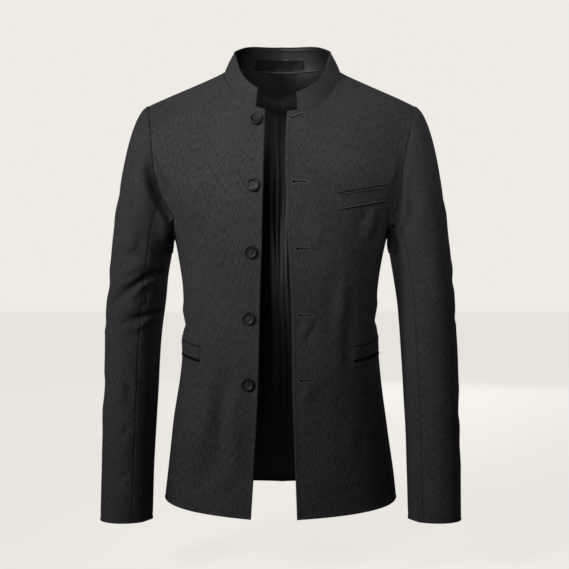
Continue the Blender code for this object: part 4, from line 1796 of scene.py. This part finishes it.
@dataclass
class Studio:
    """Plain floor, soft lights and the photo's camera."""

    camera_y: float = -1.55
    camera_z: float = -0.306
    lens: float = 60.54
    shift_x: float = 0.0035
    shift_y: float = -0.0395
    floor_z: float = -0.80
    floor_glow: float = 0.9
    ground: tuple[float, float, float, float] = (0.30, 0.29, 0.28, 1.0)
    backdrop: tuple[float, float, float, float] = (0.86, 0.83, 0.78, 1.0)
    ambient: tuple[float, float, float, float] = (0.80, 0.82, 0.85, 1.0)
    ambient_strength: float = 0.07
    middle: Triple = (0.0, 0.0, -0.3)

    def build(self) -> None:
        """Sets up floor, world, lights and camera."""
        scene = bpy.context.scene
        floor = self.floor()
        lights = (
            self.spot("Key", (-1.35, -1.3, 0.35), (-0.05, -0.1, -0.27), 46.0, 98.0),
            self.spot("Chest", (-0.15, -1.7, 0.7), (0.05, -0.1, -0.01), 17.0, 220.0),
            self.light("Fill", (-2.0, -1.4, -0.8), 1.0, 9.0, (0.98, 0.98, 1.0)),
            self.light("Edge", (1.5, -1.3, -0.5), 0.5, 1.3, (1.0, 1.0, 1.0)),
            self.light("Back", (0.5, 2.3, 0.1), 1.4, 6.0, (1.0, 1.0, 1.0)),
        )
        world = bpy.data.worlds.new("Studio")
        world.use_nodes = True
        graph = Graph(world.node_tree)
        lit = world.node_tree.nodes["Background"]
        graph.fill(lit, {"Color": self.ambient, "Strength": self.ambient_strength})
        seen = graph.add("ShaderNodeBackground")
        graph.fill(seen, {"Color": self.backdrop})
        mix = graph.add("ShaderNodeMixShader")
        graph.join(graph.add("ShaderNodeLightPath").outputs["Is Camera Ray"], mix.inputs["Fac"])
        graph.join(lit.outputs[0], mix.inputs[1])
        graph.join(seen.outputs[0], mix.inputs[2])
        graph.join(mix.outputs[0], world.node_tree.nodes["World Output"].inputs["Surface"])
        scene.world = world
        scene.view_settings.view_transform = "Standard"
        data = bpy.data.cameras.new("PhotoCamera")
        data.lens, data.shift_x, data.shift_y = self.lens, self.shift_x, self.shift_y
        camera = bpy.data.objects.new("PhotoCamera", data)
        camera.location = (0.0, self.camera_y, self.camera_z)
        camera.rotation_euler = (math.pi / 2, 0, 0)
        scene.collection.objects.link(camera)
        scene.camera = camera
        LOG.info("studio: camera at %.2f m", self.camera_y)

    def floor(self) -> bpy.types.Object:
        """A wide plain pale floor.

        Returns:
            The floor.
        """
        mesh = bpy.data.meshes.new("Floor")
        reach = 8.0
        corners = [(-reach, -reach, self.floor_z), (reach, -reach, self.floor_z)]
        corners += [(reach, reach, self.floor_z), (-reach, reach, self.floor_z)]
        mesh.from_pydata(corners, [], [(0, 1, 2, 3)])
        finish = bpy.data.materials.new("PaleFloor")
        finish.use_nodes = True
        shader = finish.node_tree.nodes["Principled BSDF"]
        graph = Graph(finish.node_tree)
        graph.fill(shader, {"Base Color": self.ground, "Roughness": 0.9, "Emission Color": self.backdrop})
        seen = graph.add("ShaderNodeLightPath").outputs["Is Camera Ray"]
        graph.join(graph.math("MULTIPLY", seen, self.floor_glow), shader.inputs["Emission Strength"])
        mesh.materials.append(finish)
        floor = bpy.data.objects.new("Floor", mesh)
        bpy.context.scene.collection.objects.link(floor)
        return floor

    def spot(self, name: str, place: Triple, target: Triple, angle: float, power: float) -> bpy.types.Object:
        """A soft-edged spot that is brightest where it is aimed.

        Args:
            name: The light's name.
            place: Where it stands.
            target: Where it is aimed.
            angle: Its cone in degrees.
            power: Its power in watts.

        Returns:
            The light.
        """
        data = bpy.data.lights.new(name, "SPOT")
        data.energy, data.spot_size, data.spot_blend = power, math.radians(angle), 1.0
        data.shadow_soft_size = 0.3
        return self.aimed(data, place, target)

    def light(self, name: str, place: Triple, size: float, power: float, colour: Triple) -> bpy.types.Object:
        """A soft square light turned to the jacket.

        Args:
            name: The light's name.
            place: Where it stands.
            size: Its side in metres.
            power: Its power in watts.
            colour: Its colour.

        Returns:
            The light.
        """
        data = bpy.data.lights.new(name, "AREA")
        data.shape, data.size, data.energy, data.color = "SQUARE", size, power, colour
        return self.aimed(data, place, self.middle)

    @staticmethod
    def aimed(data: bpy.types.Light, place: Triple, target: Triple) -> bpy.types.Object:
        """A light put in its place and turned to its target.

        Args:
            data: The light's data.
            place: Where it stands.
            target: Where it is aimed.

        Returns:
            The light.
        """
        light = bpy.data.objects.new(data.name, data)
        light.location = place
        light.rotation_euler = (Vector(target) - Vector(place)).to_track_quat("-Z", "Y").to_euler()
        bpy.context.scene.collection.objects.link(light)
        return light


def turned_mesh(name: str, profile: Sequence[tuple[float, float]], segments: int) -> bpy.types.Mesh:
    """Closed mesh of a profile turned round the Z axis.

    Args:
        name: The mesh's name.
        profile: Radius and height of each ring in millimetres, from the first pole to the last.
        segments: Points on each ring.

    Returns:
        The mesh, in metres.
    """
    turns = np.linspace(0, math.tau, segments, endpoint=False)
    rings = [[(r * math.cos(t), r * math.sin(t), h) for t in turns] for r, h in profile[1:-1]]
    poles = [(0.0, 0.0, profile[0][1]), (0.0, 0.0, profile[-1][1])]
    points = [poles[0], *(point for ring in rings for point in ring), poles[1]]
    ahead = [(k + 1) % segments for k in range(segments)]
    last = len(points) - 1
    faces: list[tuple[int, ...]] = [(0, 1 + ahead[k], 1 + k) for k in range(segments)]
    for ring in range(len(rings) - 1):
        low, high = 1 + ring * segments, 1 + (ring + 1) * segments
        faces += [(low + k, low + ahead[k], high + ahead[k], high + k) for k in range(segments)]
    top = last - segments
    faces += [(top + k, top + ahead[k], last) for k in range(segments)]
    mesh = bpy.data.meshes.new(name)
    mesh.from_pydata((np.array(points) * MM).tolist(), [], faces)
    work = bmesh.new()
    work.from_mesh(mesh)
    bmesh.ops.recalc_face_normals(work, faces=work.faces)
    work.to_mesh(mesh)
    work.free()
    mesh.shade_smooth()
    return mesh


def joined(name: str, parts: Sequence[tuple[bpy.types.Mesh, int, Matrix]]) -> bpy.types.Mesh:
    """One mesh from several, each with its own material number and place.

    Args:
        name: The mesh's name.
        parts: Meshes with their material number and place.

    Returns:
        The mesh.
    """
    work = bmesh.new()
    for part, material, place in parts:
        first_point, first_face = len(work.verts), len(work.faces)
        work.from_mesh(part)
        work.verts.ensure_lookup_table()
        work.faces.ensure_lookup_table()
        bmesh.ops.transform(work, matrix=place, verts=work.verts[first_point:])
        for face in work.faces[first_face:]:
            face.material_index = material
    mesh = bpy.data.meshes.new(name)
    work.to_mesh(mesh)
    work.free()
    return mesh


class ButtonPlace(NamedTuple):
    """A button's distance out on the wearer's right front, its height, and its turns in degrees."""

    out: float
    z: float
    turn: float
    lean: float = 0.0


@dataclass(frozen=True)
class Buttons:
    """Sew-through buttons with a raised rim, four holes, and thread."""

    places: tuple[ButtonPlace, ...]
    radius: float = 10.0
    hole_radius: float = 0.95
    hole_out: float = 1.75
    thread_width: float = 0.62
    segments: int = 72
    strand_overhang: float = 0.9
    strand_step: float = 0.55
    strand_height: float = 3.45
    strand_crown: float = 0.25
    sharp_angle: float = 50.0

    @property
    def profile(self) -> tuple[tuple[float, float], ...]:
        """Rings of the turned button, from its back to its front.

        Returns:
            Radius and height of each ring.
        """
        r = self.radius
        back = ((0, 1.5), (1.2, 1.5), (r - 2.4, 1.5), (r - 1.2, 1.62), (r - 0.35, 2.1), (r, 2.9))
        rim = ((r - 0.12, 3.7), (r - 0.55, 4.45), (r - 1.2, 4.85), (r - 1.8, 4.92), (r - 2.4, 4.7))
        dish = ((r - 2.9, 4.2), (r - 3.3, 3.75), (r - 4.0, 3.5))
        floor = ((4.4, 3.42), (3.4, 3.4), (0.5, 3.4), (0, 3.4))
        return back + rim + dish + floor

    def blank(self) -> bpy.types.Mesh:
        """The button itself with its holes drilled through.

        Returns:
            The mesh.
        """
        body = bpy.data.objects.new("button_blank", turned_mesh("button_blank", self.profile, self.segments))
        drill_profile = ((0, 0.5), (self.hole_radius, 0.5), (self.hole_radius, 6.0), (0, 6.0))
        drill = turned_mesh("button_drill", drill_profile, 16)
        spots = [(sx * self.hole_out, sy * self.hole_out) for sx in (-1, 1) for sy in (-1, 1)]
        bits = [(drill, 0, Matrix.Translation((x * MM, y * MM, 0))) for x, y in spots]
        drills = joined("button_drills", bits)
        cutter = bpy.data.objects.new("button_drills", drills)
        for thing in (body, cutter):
            bpy.context.scene.collection.objects.link(thing)
        cut = body.modifiers.new("Holes", "BOOLEAN")
        cut.operation, cut.object, cut.solver = "DIFFERENCE", cutter, "EXACT"
        ready = body.evaluated_get(bpy.context.evaluated_depsgraph_get())
        mesh = bpy.data.meshes.new_from_object(ready)
        mesh.materials.clear()
        mesh.shade_smooth()
        mesh.set_sharp_from_angle(angle=math.radians(self.sharp_angle))
        for thing in (body, cutter):
            bpy.data.objects.remove(thing)
        return mesh

    def build(self, chest: Surface, finishes: Finishes) -> None:
        """Sews every button to the wearer's right front.

        Args:
            chest: The front's cloth.
            finishes: The jacket's materials.
        """
        blank = self.blank()
        shank_rings = ((0, -0.4), (1.7, -0.4), (1.5, 0.3), (1.65, 0.8), (1.5, 1.2), (1.6, 1.6), (0, 1.6))
        shank = turned_mesh("shank", shank_rings, 20)
        for number, place in enumerate(self.places, start=1):
            point, out = chest.hit(-place.out, place.z)
            lean = Vector(out).to_track_quat("Z", "Y").to_matrix().to_4x4()
            lean = Matrix.Rotation(math.radians(place.lean), 4, "Z") @ lean
            rise = self.radius * MM * math.sin(math.radians(place.lean)) / 2
            upright = Matrix.Translation(Vector(point * MM) + Vector(out) * rise) @ lean
            matrix = upright @ Matrix.Rotation(math.radians(place.turn), 4, "Z")
            name = f"button_{number}"
            mesh = joined(name, [(blank, 0, matrix)])
            mesh.shade_smooth()
            mesh.set_sharp_from_angle(angle=math.radians(self.sharp_angle))
            place_piece(f"visual_{name}", mesh, [finishes.button], [name])
            length = 2 * self.hole_out + self.strand_overhang
            strands = Stitches(length, self.thread_width, sink=-0.02, jitter=0.04, seed=number)
            axes = [np.array(matrix.to_3x3() @ Vector(axis)) for axis in ((1, 0, 0), (0, 1, 0), (0, 0, 1))]
            rows = []
            for across in (-1, 1):
                for step in (-self.strand_step, 0.0, self.strand_step):
                    height = self.strand_height + (self.strand_crown if step == 0 else 0.0)
                    middle = point + axes[1] * (across * self.hole_out + step) + axes[2] * height
                    rows.append(StitchPlace(middle, axes[0], axes[2]))
            sewn = strands.mesh(f"thread_{number}", rows, finishes.thread)
            place_piece(
                f"visual_thread_{number}",
                joined(f"thread_{number}", [(sewn, 0, Matrix.Identity(4)), (shank, 0, matrix)]),
                [finishes.thread],
            )


class HolePlace(NamedTuple):
    """A buttonhole on the wearer's left front: where it starts and ends along X, and its heights there."""

    from_x: float
    to_x: float
    from_z: float
    to_z: float

    @property
    def line(self) -> tuple[np.ndarray, np.ndarray, np.ndarray]:
        """Start, end and direction of the hole, seen from the front."""
        start, end = np.array([self.from_x, self.from_z]), np.array([self.to_x, self.to_z])
        return start, end, (end - start) / np.linalg.norm(end - start)


@dataclass(frozen=True)
class Buttonholes:
    """Keyhole buttonholes with a closely stitched edge, an eyelet and a bar tack."""

    places: tuple[HolePlace, ...]
    eyelet: float = 2.5
    half_slot: float = 0.8
    slot_wall: Wall = Wall(thickness=0.3, gap=0.0, round_over=0.05, dip=0.0)
    slot_lift: float = 0.16
    stitch: Stitches = Stitches(2.3, 0.62, sink=0.2)
    pitch: float = 0.56

    def outline(self, place: HolePlace) -> list[tuple[np.ndarray, np.ndarray]]:
        """Places round the slot's edge, and the way out of the slot at each, seen from the front.

        Args:
            place: The buttonhole.

        Returns:
            Pairs of place and way out.
        """
        start, end, run = place.line
        up = np.array([-run[1], run[0]])
        reach = self.stitch.length / 2
        middle = start + run * (self.eyelet + reach)
        around = []
        radius = self.eyelet + reach * 0.7
        for turn in np.arange(0.75, math.tau - 0.75, self.pitch / radius):
            way = run * math.cos(turn) + up * math.sin(turn)
            around.append((middle + way * radius, way))
        length = float(np.linalg.norm(end - middle)) - 1.4
        for along in np.arange(self.eyelet + reach * 0.4, length, self.pitch):
            for sign in (-1, 1):
                around.append((middle + run * along + sign * up * (self.half_slot + reach * 0.8), sign * up))
        for step in np.arange(-0.6, 1.2, self.pitch):
            for half in (-1.2, 1.2):
                around.append((end + run * (step - 0.8) + up * half, up))
        return around

    def build(self, chest: Surface, finishes: Finishes) -> None:
        """Works every buttonhole into the wearer's left front.

        Args:
            chest: The front's cloth.
            finishes: The jacket's materials.
        """
        for number, place in enumerate(self.places, start=1):
            rows = []
            for spot, way in self.outline(place):
                point, out = chest.hit(float(spot[0]), float(spot[1]))
                ahead, _ = chest.hit(float(spot[0] + way[0]), float(spot[1] + way[1]))
                rows.append(StitchPlace(point, (ahead - point) / np.linalg.norm(ahead - point), out))
            mesh = self.stitch.mesh(f"buttonhole_{number}", rows, finishes.thread)
            start, end, run = place.line
            # The slot is a near-black strip: painted shade in the buttonhole's opening.
            slot = self.slot(chest, start + run * 1.4, end - run * 1.6, f"slot_{number}")
            parts = [(mesh, 0, Matrix.Identity(4)), (slot, 1, Matrix.Identity(4))]
            whole = joined(f"buttonhole_{number}", parts)
            place_piece(f"visual_buttonhole_{number}", whole, [finishes.thread, finishes.slot])

    def slot(self, chest: Surface, start: np.ndarray, end: np.ndarray, name: str) -> bpy.types.Mesh:
        """Painted shade of the opening: a near-black thin strip, wide at the eyelet and narrow along the
        slot.

        Args:
            chest: The front's cloth.
            start: Where it starts.
            end: Where it ends.
            name: The mesh's name.

        Returns:
            The mesh.
        """
        run = end - start
        up = np.array([-run[1], run[0]]) / np.linalg.norm(run)
        found = []
        for half in np.linspace(-1, 1, 5):
            row = []
            for share in np.linspace(0, 1, 30):
                bulge = self.eyelet * math.exp(-(((share - 0.09) / 0.075) ** 2))
                width = max(self.half_slot, bulge) * min(1, (share + 0.01) * 25, (1.01 - share) * 25)
                row.append(chest.hit(*(start + run * share + up * half * width).tolist()))
            found.append(row)
        return laid_strip(name, found, self.slot_wall, self.slot_lift)


@dataclass(frozen=True)
class BreastWelt:
    """The slanted breast pocket welt, as corners across and up in millimetres."""

    low_in: tuple[float, float] = (85, -227)
    low_out: tuple[float, float] = (158, -212)
    high_in: tuple[float, float] = (82, -204)
    high_out: tuple[float, float] = (161, -189)
    wall: Wall = Wall(thickness=1.5, gap=0.0, round_over=0.7, dip=0.35, dip_reach=2.6)
    mouth_wall: Wall = Wall(0.3, 0.0, 0.05, 0.0)
    rim_wall: Wall = Wall(1.3, 0.0, 0.55, 0.2, 1.0)
    band_lift: float = 1.5
    mouth_lift: float = 0.12
    ridge_lift: float = 3.0
    foot_lift: float = 2.3
    end_stitch_lift: float = 2.05
    foot_stitch_lift: float = 2.75
    ridge_stitch_lift: float = 3.45
    stitch_pitch: float = 0.0205

    def at(self, share: float, up: float) -> np.ndarray:
        """Place on the welt seen from the front.

        Args:
            share: Share of its length.
            up: Share of its height.

        Returns:
            The place.
        """
        low = np.array(self.low_in) * (1 - share) + np.array(self.low_out) * share
        high = np.array(self.high_in) * (1 - share) + np.array(self.high_out) * share
        return low * (1 - up) + high * up

    def strip(
        self, chest: Surface, name: str, low: float, high: float, rows: int, lift: float, wall: Wall
    ) -> bpy.types.Mesh:
        """A strip along the welt between two shares of its height.

        Args:
            chest: The front's cloth.
            name: The mesh's name.
            low: Its lower edge.
            high: Its upper edge.
            rows: Rows of points.
            lift: How far out it lies.
            wall: Its thickness and edges.

        Returns:
            The mesh.
        """
        shares, ups = np.linspace(0, 1, 56), np.linspace(low, high, rows)
        found = [[chest.hit(*self.at(share, up).tolist()) for share in shares] for up in ups]
        return laid_strip(name, found, wall, lift)

    def build(self, chest: Surface, finishes: Finishes) -> None:
        """Lays the welt, a near-black strip above it as painted shade in the pocket mouth, and its end
        stitches on the chest.

        Args:
            chest: The front's cloth.
            finishes: The jacket's materials.
        """
        strips = (
            ("band", 0.0, 1.0, 9, self.band_lift, self.wall, 0),
            ("ridge", 0.91, 1.0, 4, self.ridge_lift, self.rim_wall, 0),
            ("foot", 0.0, 0.08, 4, self.foot_lift, self.rim_wall, 0),
            # The mouth is a near-black strip: painted shade of the pocket opening.
            ("mouth", 1.0, 1.08, 3, self.mouth_lift, self.mouth_wall, 1),
        )
        parts = [(self.strip(chest, *cut), material, Matrix.Identity(4)) for *cut, material in strips]
        mesh = joined("breast_welt", parts)
        mesh.shade_smooth()
        materials = [finishes.cloth, finishes.slot]
        piece = place_piece("visual_breast_welt", mesh, materials, ["breast_welt"])
        rows = []
        for share in (0.03, 0.97):
            for up in np.arange(0.1, 0.92, 0.075):
                spot, ahead = self.at(share, up), self.at(share + 0.01, up)
                rows.append(self.stitch(chest, spot, ahead, self.end_stitch_lift))
        # Close rows of pale stitches along the foot and the ridge: stitching that also paints highlights on
        # the welt's edges.
        for up, lift in ((0.03, self.foot_stitch_lift), (0.96, self.ridge_stitch_lift)):
            for share in np.arange(0.02, 0.99, self.stitch_pitch):
                rows.append(self.stitch(chest, self.at(share, up), self.at(share + 0.01, up), lift))
        mesh = Stitches(1.7, 0.75, sink=0.1, seed=9).mesh("breast_stitches", rows, finishes.pale_thread)
        place_piece("visual_breast_stitches", mesh, [finishes.pale_thread])

    @staticmethod
    def stitch(chest: Surface, spot: np.ndarray, ahead: np.ndarray, lift: float) -> StitchPlace:
        """A stitch lying on the welt, as far out from the chest as its face is there.

        Args:
            chest: The front's cloth.
            spot: Its middle.
            ahead: A place along it.
            lift: How far out it lies.

        Returns:
            The stitch's place.
        """
        point, out = chest.hit(*spot.tolist())
        beyond, _ = chest.hit(*ahead.tolist())
        return StitchPlace(point + out * lift, (beyond - point) / np.linalg.norm(beyond - point), out)


@dataclass(frozen=True)
class HipWelt:
    """A hip pocket that rises to the side: a band, a lip above it and a lip below, with near-black strips of
    painted shade in the mouth under the band and in the seam under the upper lip.
    """

    side: Side
    start_angle: float
    end_angle: float = 97.0
    low: float = -456.0
    high: float = -437.0
    rise: float = 12.0
    mouth: float = 3.8
    lip: float = 2.2
    band_wall: Wall = Wall(1.5, 0.0, 0.7, 0.3, 1.6)
    lip_wall: Wall = Wall(1.4, 0.0, 0.6, 0.1, 0.6)
    mouth_wall: Wall = Wall(0.4, 0.0, 0.05, 0.0)

    def strip(
        self,
        hip: Surface,
        form: JacketForm,
        name: str,
        low: float,
        high: float,
        rows: int,
        lift: float,
        wall: Wall,
    ) -> bpy.types.Mesh:
        """A strip round the hip between two heights, which rises toward the side.

        Args:
            hip: Cloth of the front and side.
            form: The worn form.
            name: The mesh's name.
            low: Its lower edge.
            high: Its upper edge.
            rows: Rows of points.
            lift: How far out it lies.
            wall: Its thickness and edges.

        Returns:
            The mesh.
        """
        angles = np.linspace(self.start_angle, self.end_angle, 64)
        up = self.rise * (angles - self.start_angle) / (self.end_angle - self.start_angle)
        base = np.array([form.body(self.side, angles, z + up) for z in np.linspace(low, high, rows)])
        found = [[hip.nearest(point) for point in row] for row in base]
        return laid_strip(name, found, wall, lift)

    def build(self, hip: Surface, form: JacketForm, finishes: Finishes) -> None:
        """Lays one hip pocket's welt on the front and the side.

        Args:
            hip: Cloth of the front and side.
            form: The worn form.
            finishes: The jacket's materials.
        """
        name = f"hip_welt_{self.side.word}"
        strips = (
            ("band", self.low, self.high, 8, 1.2, self.band_wall, 0),
            # The mouth and seam strips are near-black: painted shade in the pocket opening and in the seam.
            ("mouth", self.low - self.mouth, self.low, 3, 0.18, self.mouth_wall, 1),
            ("under_lip", self.low - self.mouth - self.lip, self.low - self.mouth, 4, 1.3, self.lip_wall, 0),
            ("seam", self.high, self.high + 1.3, 3, 0.14, self.mouth_wall, 1),
            ("upper_lip", self.high + 1.3, self.high + 3.2, 4, 1.1, self.lip_wall, 0),
        )
        parts = []
        for word, low, high, rows, lift, wall, material in strips:
            part = self.strip(hip, form, f"{name}_{word}", low, high, rows, lift, wall)
            parts.append((part, material, Matrix.Identity(4)))
        mesh = joined(name, parts)
        mesh.shade_smooth()
        piece = place_piece(f"visual_{name}", mesh, [finishes.cloth, finishes.slot], [name])
        grid = form.body(self.side, np.linspace(self.start_angle, self.end_angle, 40), np.full(40, self.low))


@dataclass(frozen=True)
class EdgeStitching:
    """Small tonal stitches pricked along the opening edges."""

    inset: float = 5.5
    pitch: float = 4.6
    stitch: Stitches = Stitches(1.5, 0.4, sink=0.22, jitter=0.2)

    def build(self, cloth: SideCloth, finishes: Finishes) -> None:
        """Sews one front's opening edge.

        Args:
            cloth: That side's folded cloth.
            finishes: The jacket's materials.
        """
        at = np.array([self.inset / mean_step(cloth.front.grid, 1)])
        rows = np.arange(cloth.form.front_corner_row - 1, dtype=float) + 1
        line = resample(cloth.front.grid, rows, at)[:, 0]
        outs = unit(resample(cloth.front.normals, rows, at))[:, 0]
        name = f"edge_stitches_{cloth.side.word}"
        mesh = self.stitch.mesh(name, sewn_row(line, outs, self.pitch), finishes.thread)
        place_piece(f"visual_{name}", mesh, [finishes.thread])


def drawn(region: Region, seen: Seen, *strokes: tuple) -> tuple[Fold, ...]:
    """Folds of one region as they are seen from one side.

    Args:
        region: The stretch of cloth that they lie in.
        seen: The side that they are seen from.
        *strokes: Width, depth and path points of each fold.

    Returns:
        The folds in the order given.
    """
    return tuple(Fold(region, seen, tuple(path), width, depth) for width, depth, *path in strokes)


CREASES = Creases(
    drawn(
        Region.SLEEVE_RIGHT,
        Seen.FRONT,
        (5.4, -4.9, (-269, -373), (-251, -359), (-230, -342), (-204, -325), (-184, -317)),
        (9, 2.2, (-252, -328), (-235, -315), (-204, -308)),
        (3.6, -0.9, (-207, -332), (-210, -351), (-213, -371)),
        (5.2, -4, (-254, -405), (-234, -397), (-213, -389), (-181, -379)),
        (7, 2, (-265, -391), (-241, -377), (-217, -365)),
        (8, -0.9, (-255, -429), (-235, -424), (-220, -416)),
        (7, -1.2, (-243, -477), (-237, -505), (-241, -531)),
        (6, -1.1, (-232, -551), (-243, -571), (-255, -582)),
        (6.5, -0.9, (-235, -626), (-246, -638), (-258, -644)),
        (4, -1.6, (-223, -674), (-212, -672), (-201, -666)),
        (9, -1.4, (-220, -264), (-226, -295), (-240, -315)),
        (11, -5.2, (-203, -136), (-198, -166), (-187, -200), (-174, -232), (-167, -272)),
        (13, 3.0, (-212, -148), (-209, -194), (-203, -241)),
    )
    + drawn(
        Region.SLEEVE_LEFT,
        Seen.FRONT,
        (8, -4.6, (182, -148), (178, -191), (174, -228), (170, -266)),
        (8, -2.2, (186, -150), (179, -190), (171, -228), (170, -252)),
        (7.5, 1.6, (190, -163), (187, -210), (184, -259)),
        (3.4, -1.2, (238, -236), (246, -252), (255, -267)),
        (11, -1.3, (201, -253), (213, -297), (230, -359)),
        (9, 1.3, (220, -412), (229, -435), (243, -446)),
        (9, -1.1, (215, -477), (229, -508), (226, -539)),
        (8, -1, (220, -601), (234, -616), (252, -623)),
        (4, -1.2, (196, -384), (194, -427), (201, -477)),
    )
    + drawn(
        Region.BODY,
        Seen.FRONT,
        (14, -4.4, (-84, -469), (-92, -512), (-97, -566), (-106, -613), (-133, -651)),
        (17, 0.9, (-64, -502), (-68, -559), (-78, -607)),
        (10, -4.2, (-199, -152), (-189, -192), (-175, -222), (-168, -246)),
        (8, -2.0, (187, -146), (180, -184), (172, -216)),
        (8, -1.3, (-117, -363), (-126, -396), (-135, -420)),
        (7, -1.8, (-166, -277), (-153, -306), (-141, -333)),
        (7.5, 1.56, (144, -217), (133, -249), (126, -273)),
        (7.5, -1.32, (156, -235), (148, -261), (141, -286)),
        (12, -0.45, (129, -222), (118, -246), (114, -273)),
        (9, 0.8, (96, -318), (91, -351), (88, -381), (91, -435)),
        (12, -0.7, (82, -312), (76, -345), (71, -381)),
        (9.375, -1.2, (105, -348), (102, -408), (99, -470)),
        (7.5, 0.9, (59, -255), (50, -273), (40, -283)),
        (8.75, -0.72, (44, -207), (32, -234), (26, -261)),
        (5.625, 1.02, (46, -392), (35, -405), (26, -422)),
        (6.25, -0.78, (55, -396), (44, -414), (34, -432)),
        (6.25, 0.78, (49, -491), (38, -502), (28, -518)),
        (8.75, -0.6, (76, -490), (59, -506), (44, -529)),
        (11.25, 0.72, (108, -541), (105, -568), (103, -592)),
        (6.875, -0.9, (-70, -50), (-82, -62), (-93, -80)),
        (8.125, -0.78, (-85, -41), (-100, -47), (-115, -62)),
        (8.75, -0.72, (59, -50), (78, -61), (97, -67)),
        (5, -0.78, (14, -95), (26, -89), (44, -80)),
        (5, 0.66, (16, -104), (31, -98), (50, -94)),
    )
    + drawn(
        Region.BODY,
        Seen.BACK,
        (9, -2.3, (-28, -384), (-72, -366), (-124, -343)),
        (10, 1.6, (-22, -412), (-66, -404), (-122, -399)),
        (9, -2.0, (35, -370), (78, -352), (121, -328)),
        (11, 1.5, (26, -401), (82, -394), (128, -402)),
        (9, -2.5, (-152, -196), (-134, -243), (-121, -292)),
        (10, -2.2, (150, -190), (133, -238), (125, -280)),
        (14, -2.8, (-58, -508), (-71, -596), (-84, -668)),
        (15, -2.4, (52, -498), (64, -588), (73, -655)),
        (12, 1.7, (-118, -470), (-127, -545), (-142, -620)),
        (8, -1.4, (-56, -24), (-4, -40), (51, -27)),
        (12, 1.5, (-96, -74), (-118, -104), (-131, -150)),
    )
    + drawn(
        Region.BODY,
        Seen.RIGHT,
        (11, -2.0, (-52, -430), (-6, -404), (44, -410)),
    )
    + drawn(
        Region.BODY,
        Seen.LEFT,
        (11, -1.9, (-48, -414), (2, -396), (50, -404)),
    )
    + drawn(
        Region.SLEEVE_RIGHT,
        Seen.BACK,
        (7, -3.2, (-272, -366), (-243, -349), (-206, -343)),
        (7, -2.4, (-266, -424), (-236, -407), (-205, -402)),
        (10, -2.1, (-258, -296), (-232, -272), (-211, -236)),
        (11, -1.5, (-262, -512), (-240, -548), (-232, -594)),
    )
    + drawn(
        Region.SLEEVE_RIGHT,
        Seen.RIGHT,
        (11, -1.0, (-52, -356), (-2, -340), (50, -352)),
        (10, -0.9, (-40, -410), (4, -398), (47, -408)),
        (14, -1.6, (-18, -180), (2, -232), (-6, -290)),
        (12, -1.4, (-36, -480), (-22, -532), (-34, -590)),
    )
    + drawn(
        Region.SLEEVE_LEFT,
        Seen.BACK,
        (8, -2.9, (268, -352), (238, -340), (204, -346)),
        (7, -2.2, (262, -408), (232, -398), (200, -399)),
        (10, -2.2, (252, -290), (230, -262), (206, -228)),
    )
    + drawn(
        Region.SLEEVE_LEFT,
        Seen.LEFT,
        (10, -1.0, (-50, -344), (0, -334), (52, -342)),
        (10, -0.9, (-38, -402), (6, -388), (46, -396)),
        (14, -1.5, (-22, -176), (-4, -236), (-10, -300)),
        (12, -1.4, (-50, -500), (-34, -556), (-44, -612)),
    )
    + drawn(
        Region.COLLAR,
        Seen.FRONT,
        (6, -0.7, (-72, -14), (-62, 2), (-58, 18)),
        (6, -0.6, (66, -20), (60, -4), (55, 14)),
    )
    + drawn(
        Region.LINING,
        Seen.FRONT,
        (5, 3.4, (-8, -20), (-9, -180), (-8, -430)),
        (9, 3.8, (14, -40), (18, -220), (24, -560)),
        (8, 3.2, (-27, -60), (-31, -260), (-26, -600)),
        (7, 2.8, (-3, -330), (4, -450), (-2, -640)),
        (12, 4.0, (58, -90), (66, -300), (60, -640)),
        (12, 4.0, (-66, -110), (-74, -310), (-70, -620)),
    )
)


BUTTONS = Buttons(
    (
        ButtonPlace(39.3, -91, 12, 14),
        ButtonPlace(43.7, -191, 38),
        ButtonPlace(47.4, -291, -20),
        ButtonPlace(51.0, -391, 5),
        ButtonPlace(52.8, -490, 28),
    )
)
BUTTONHOLES = Buttonholes(
    (
        HolePlace(10, 34, -89, -80),
        HolePlace(13.5, 38.5, -186, -186),
        HolePlace(19, 42.5, -286.5, -286),
        HolePlace(23, 47, -386, -386.5),
        HolePlace(24.5, 48.5, -484, -484),
    )
)
HIP_WELTS = {Side.RIGHT: HipWelt(Side.RIGHT, 49.0), Side.LEFT: HipWelt(Side.LEFT, 41.0)}
SLEEVES = {Side.RIGHT: Sleeves(2), Side.LEFT: Sleeves(1)}
DARTS = {Side.RIGHT: Dart(-430, -268, 148, 139), Side.LEFT: Dart(-410, -258, 130, 125)}


def main() -> None:
    """Builds the jacket's looks piece by piece."""
    logging.basicConfig(level=logging.INFO, format="%(name)s: %(message)s")
    form = JacketForm()
    finishes = Finishes()
    for side in Side:
        cloth = SideCloth(side, form, CREASES, DARTS[side])
        BodyPanels().build(cloth, finishes)
        SLEEVES[side].build(cloth, finishes)
        BackLining().build(cloth, CREASES, finishes)
        EdgeStitching().build(cloth, finishes)
        chest = Surface([cloth.front, cloth.flank])
        HIP_WELTS[side].build(chest, form, finishes)
        if side is Side.RIGHT:
            BUTTONS.build(chest, finishes)
        else:
            BUTTONHOLES.build(chest, finishes)
            BreastWelt().build(chest, finishes)
    StandCollar().build(form, CREASES, finishes)
    NeckLabels().build(form, finishes)
    Studio().build()


if __name__ == "__main__":
    main()
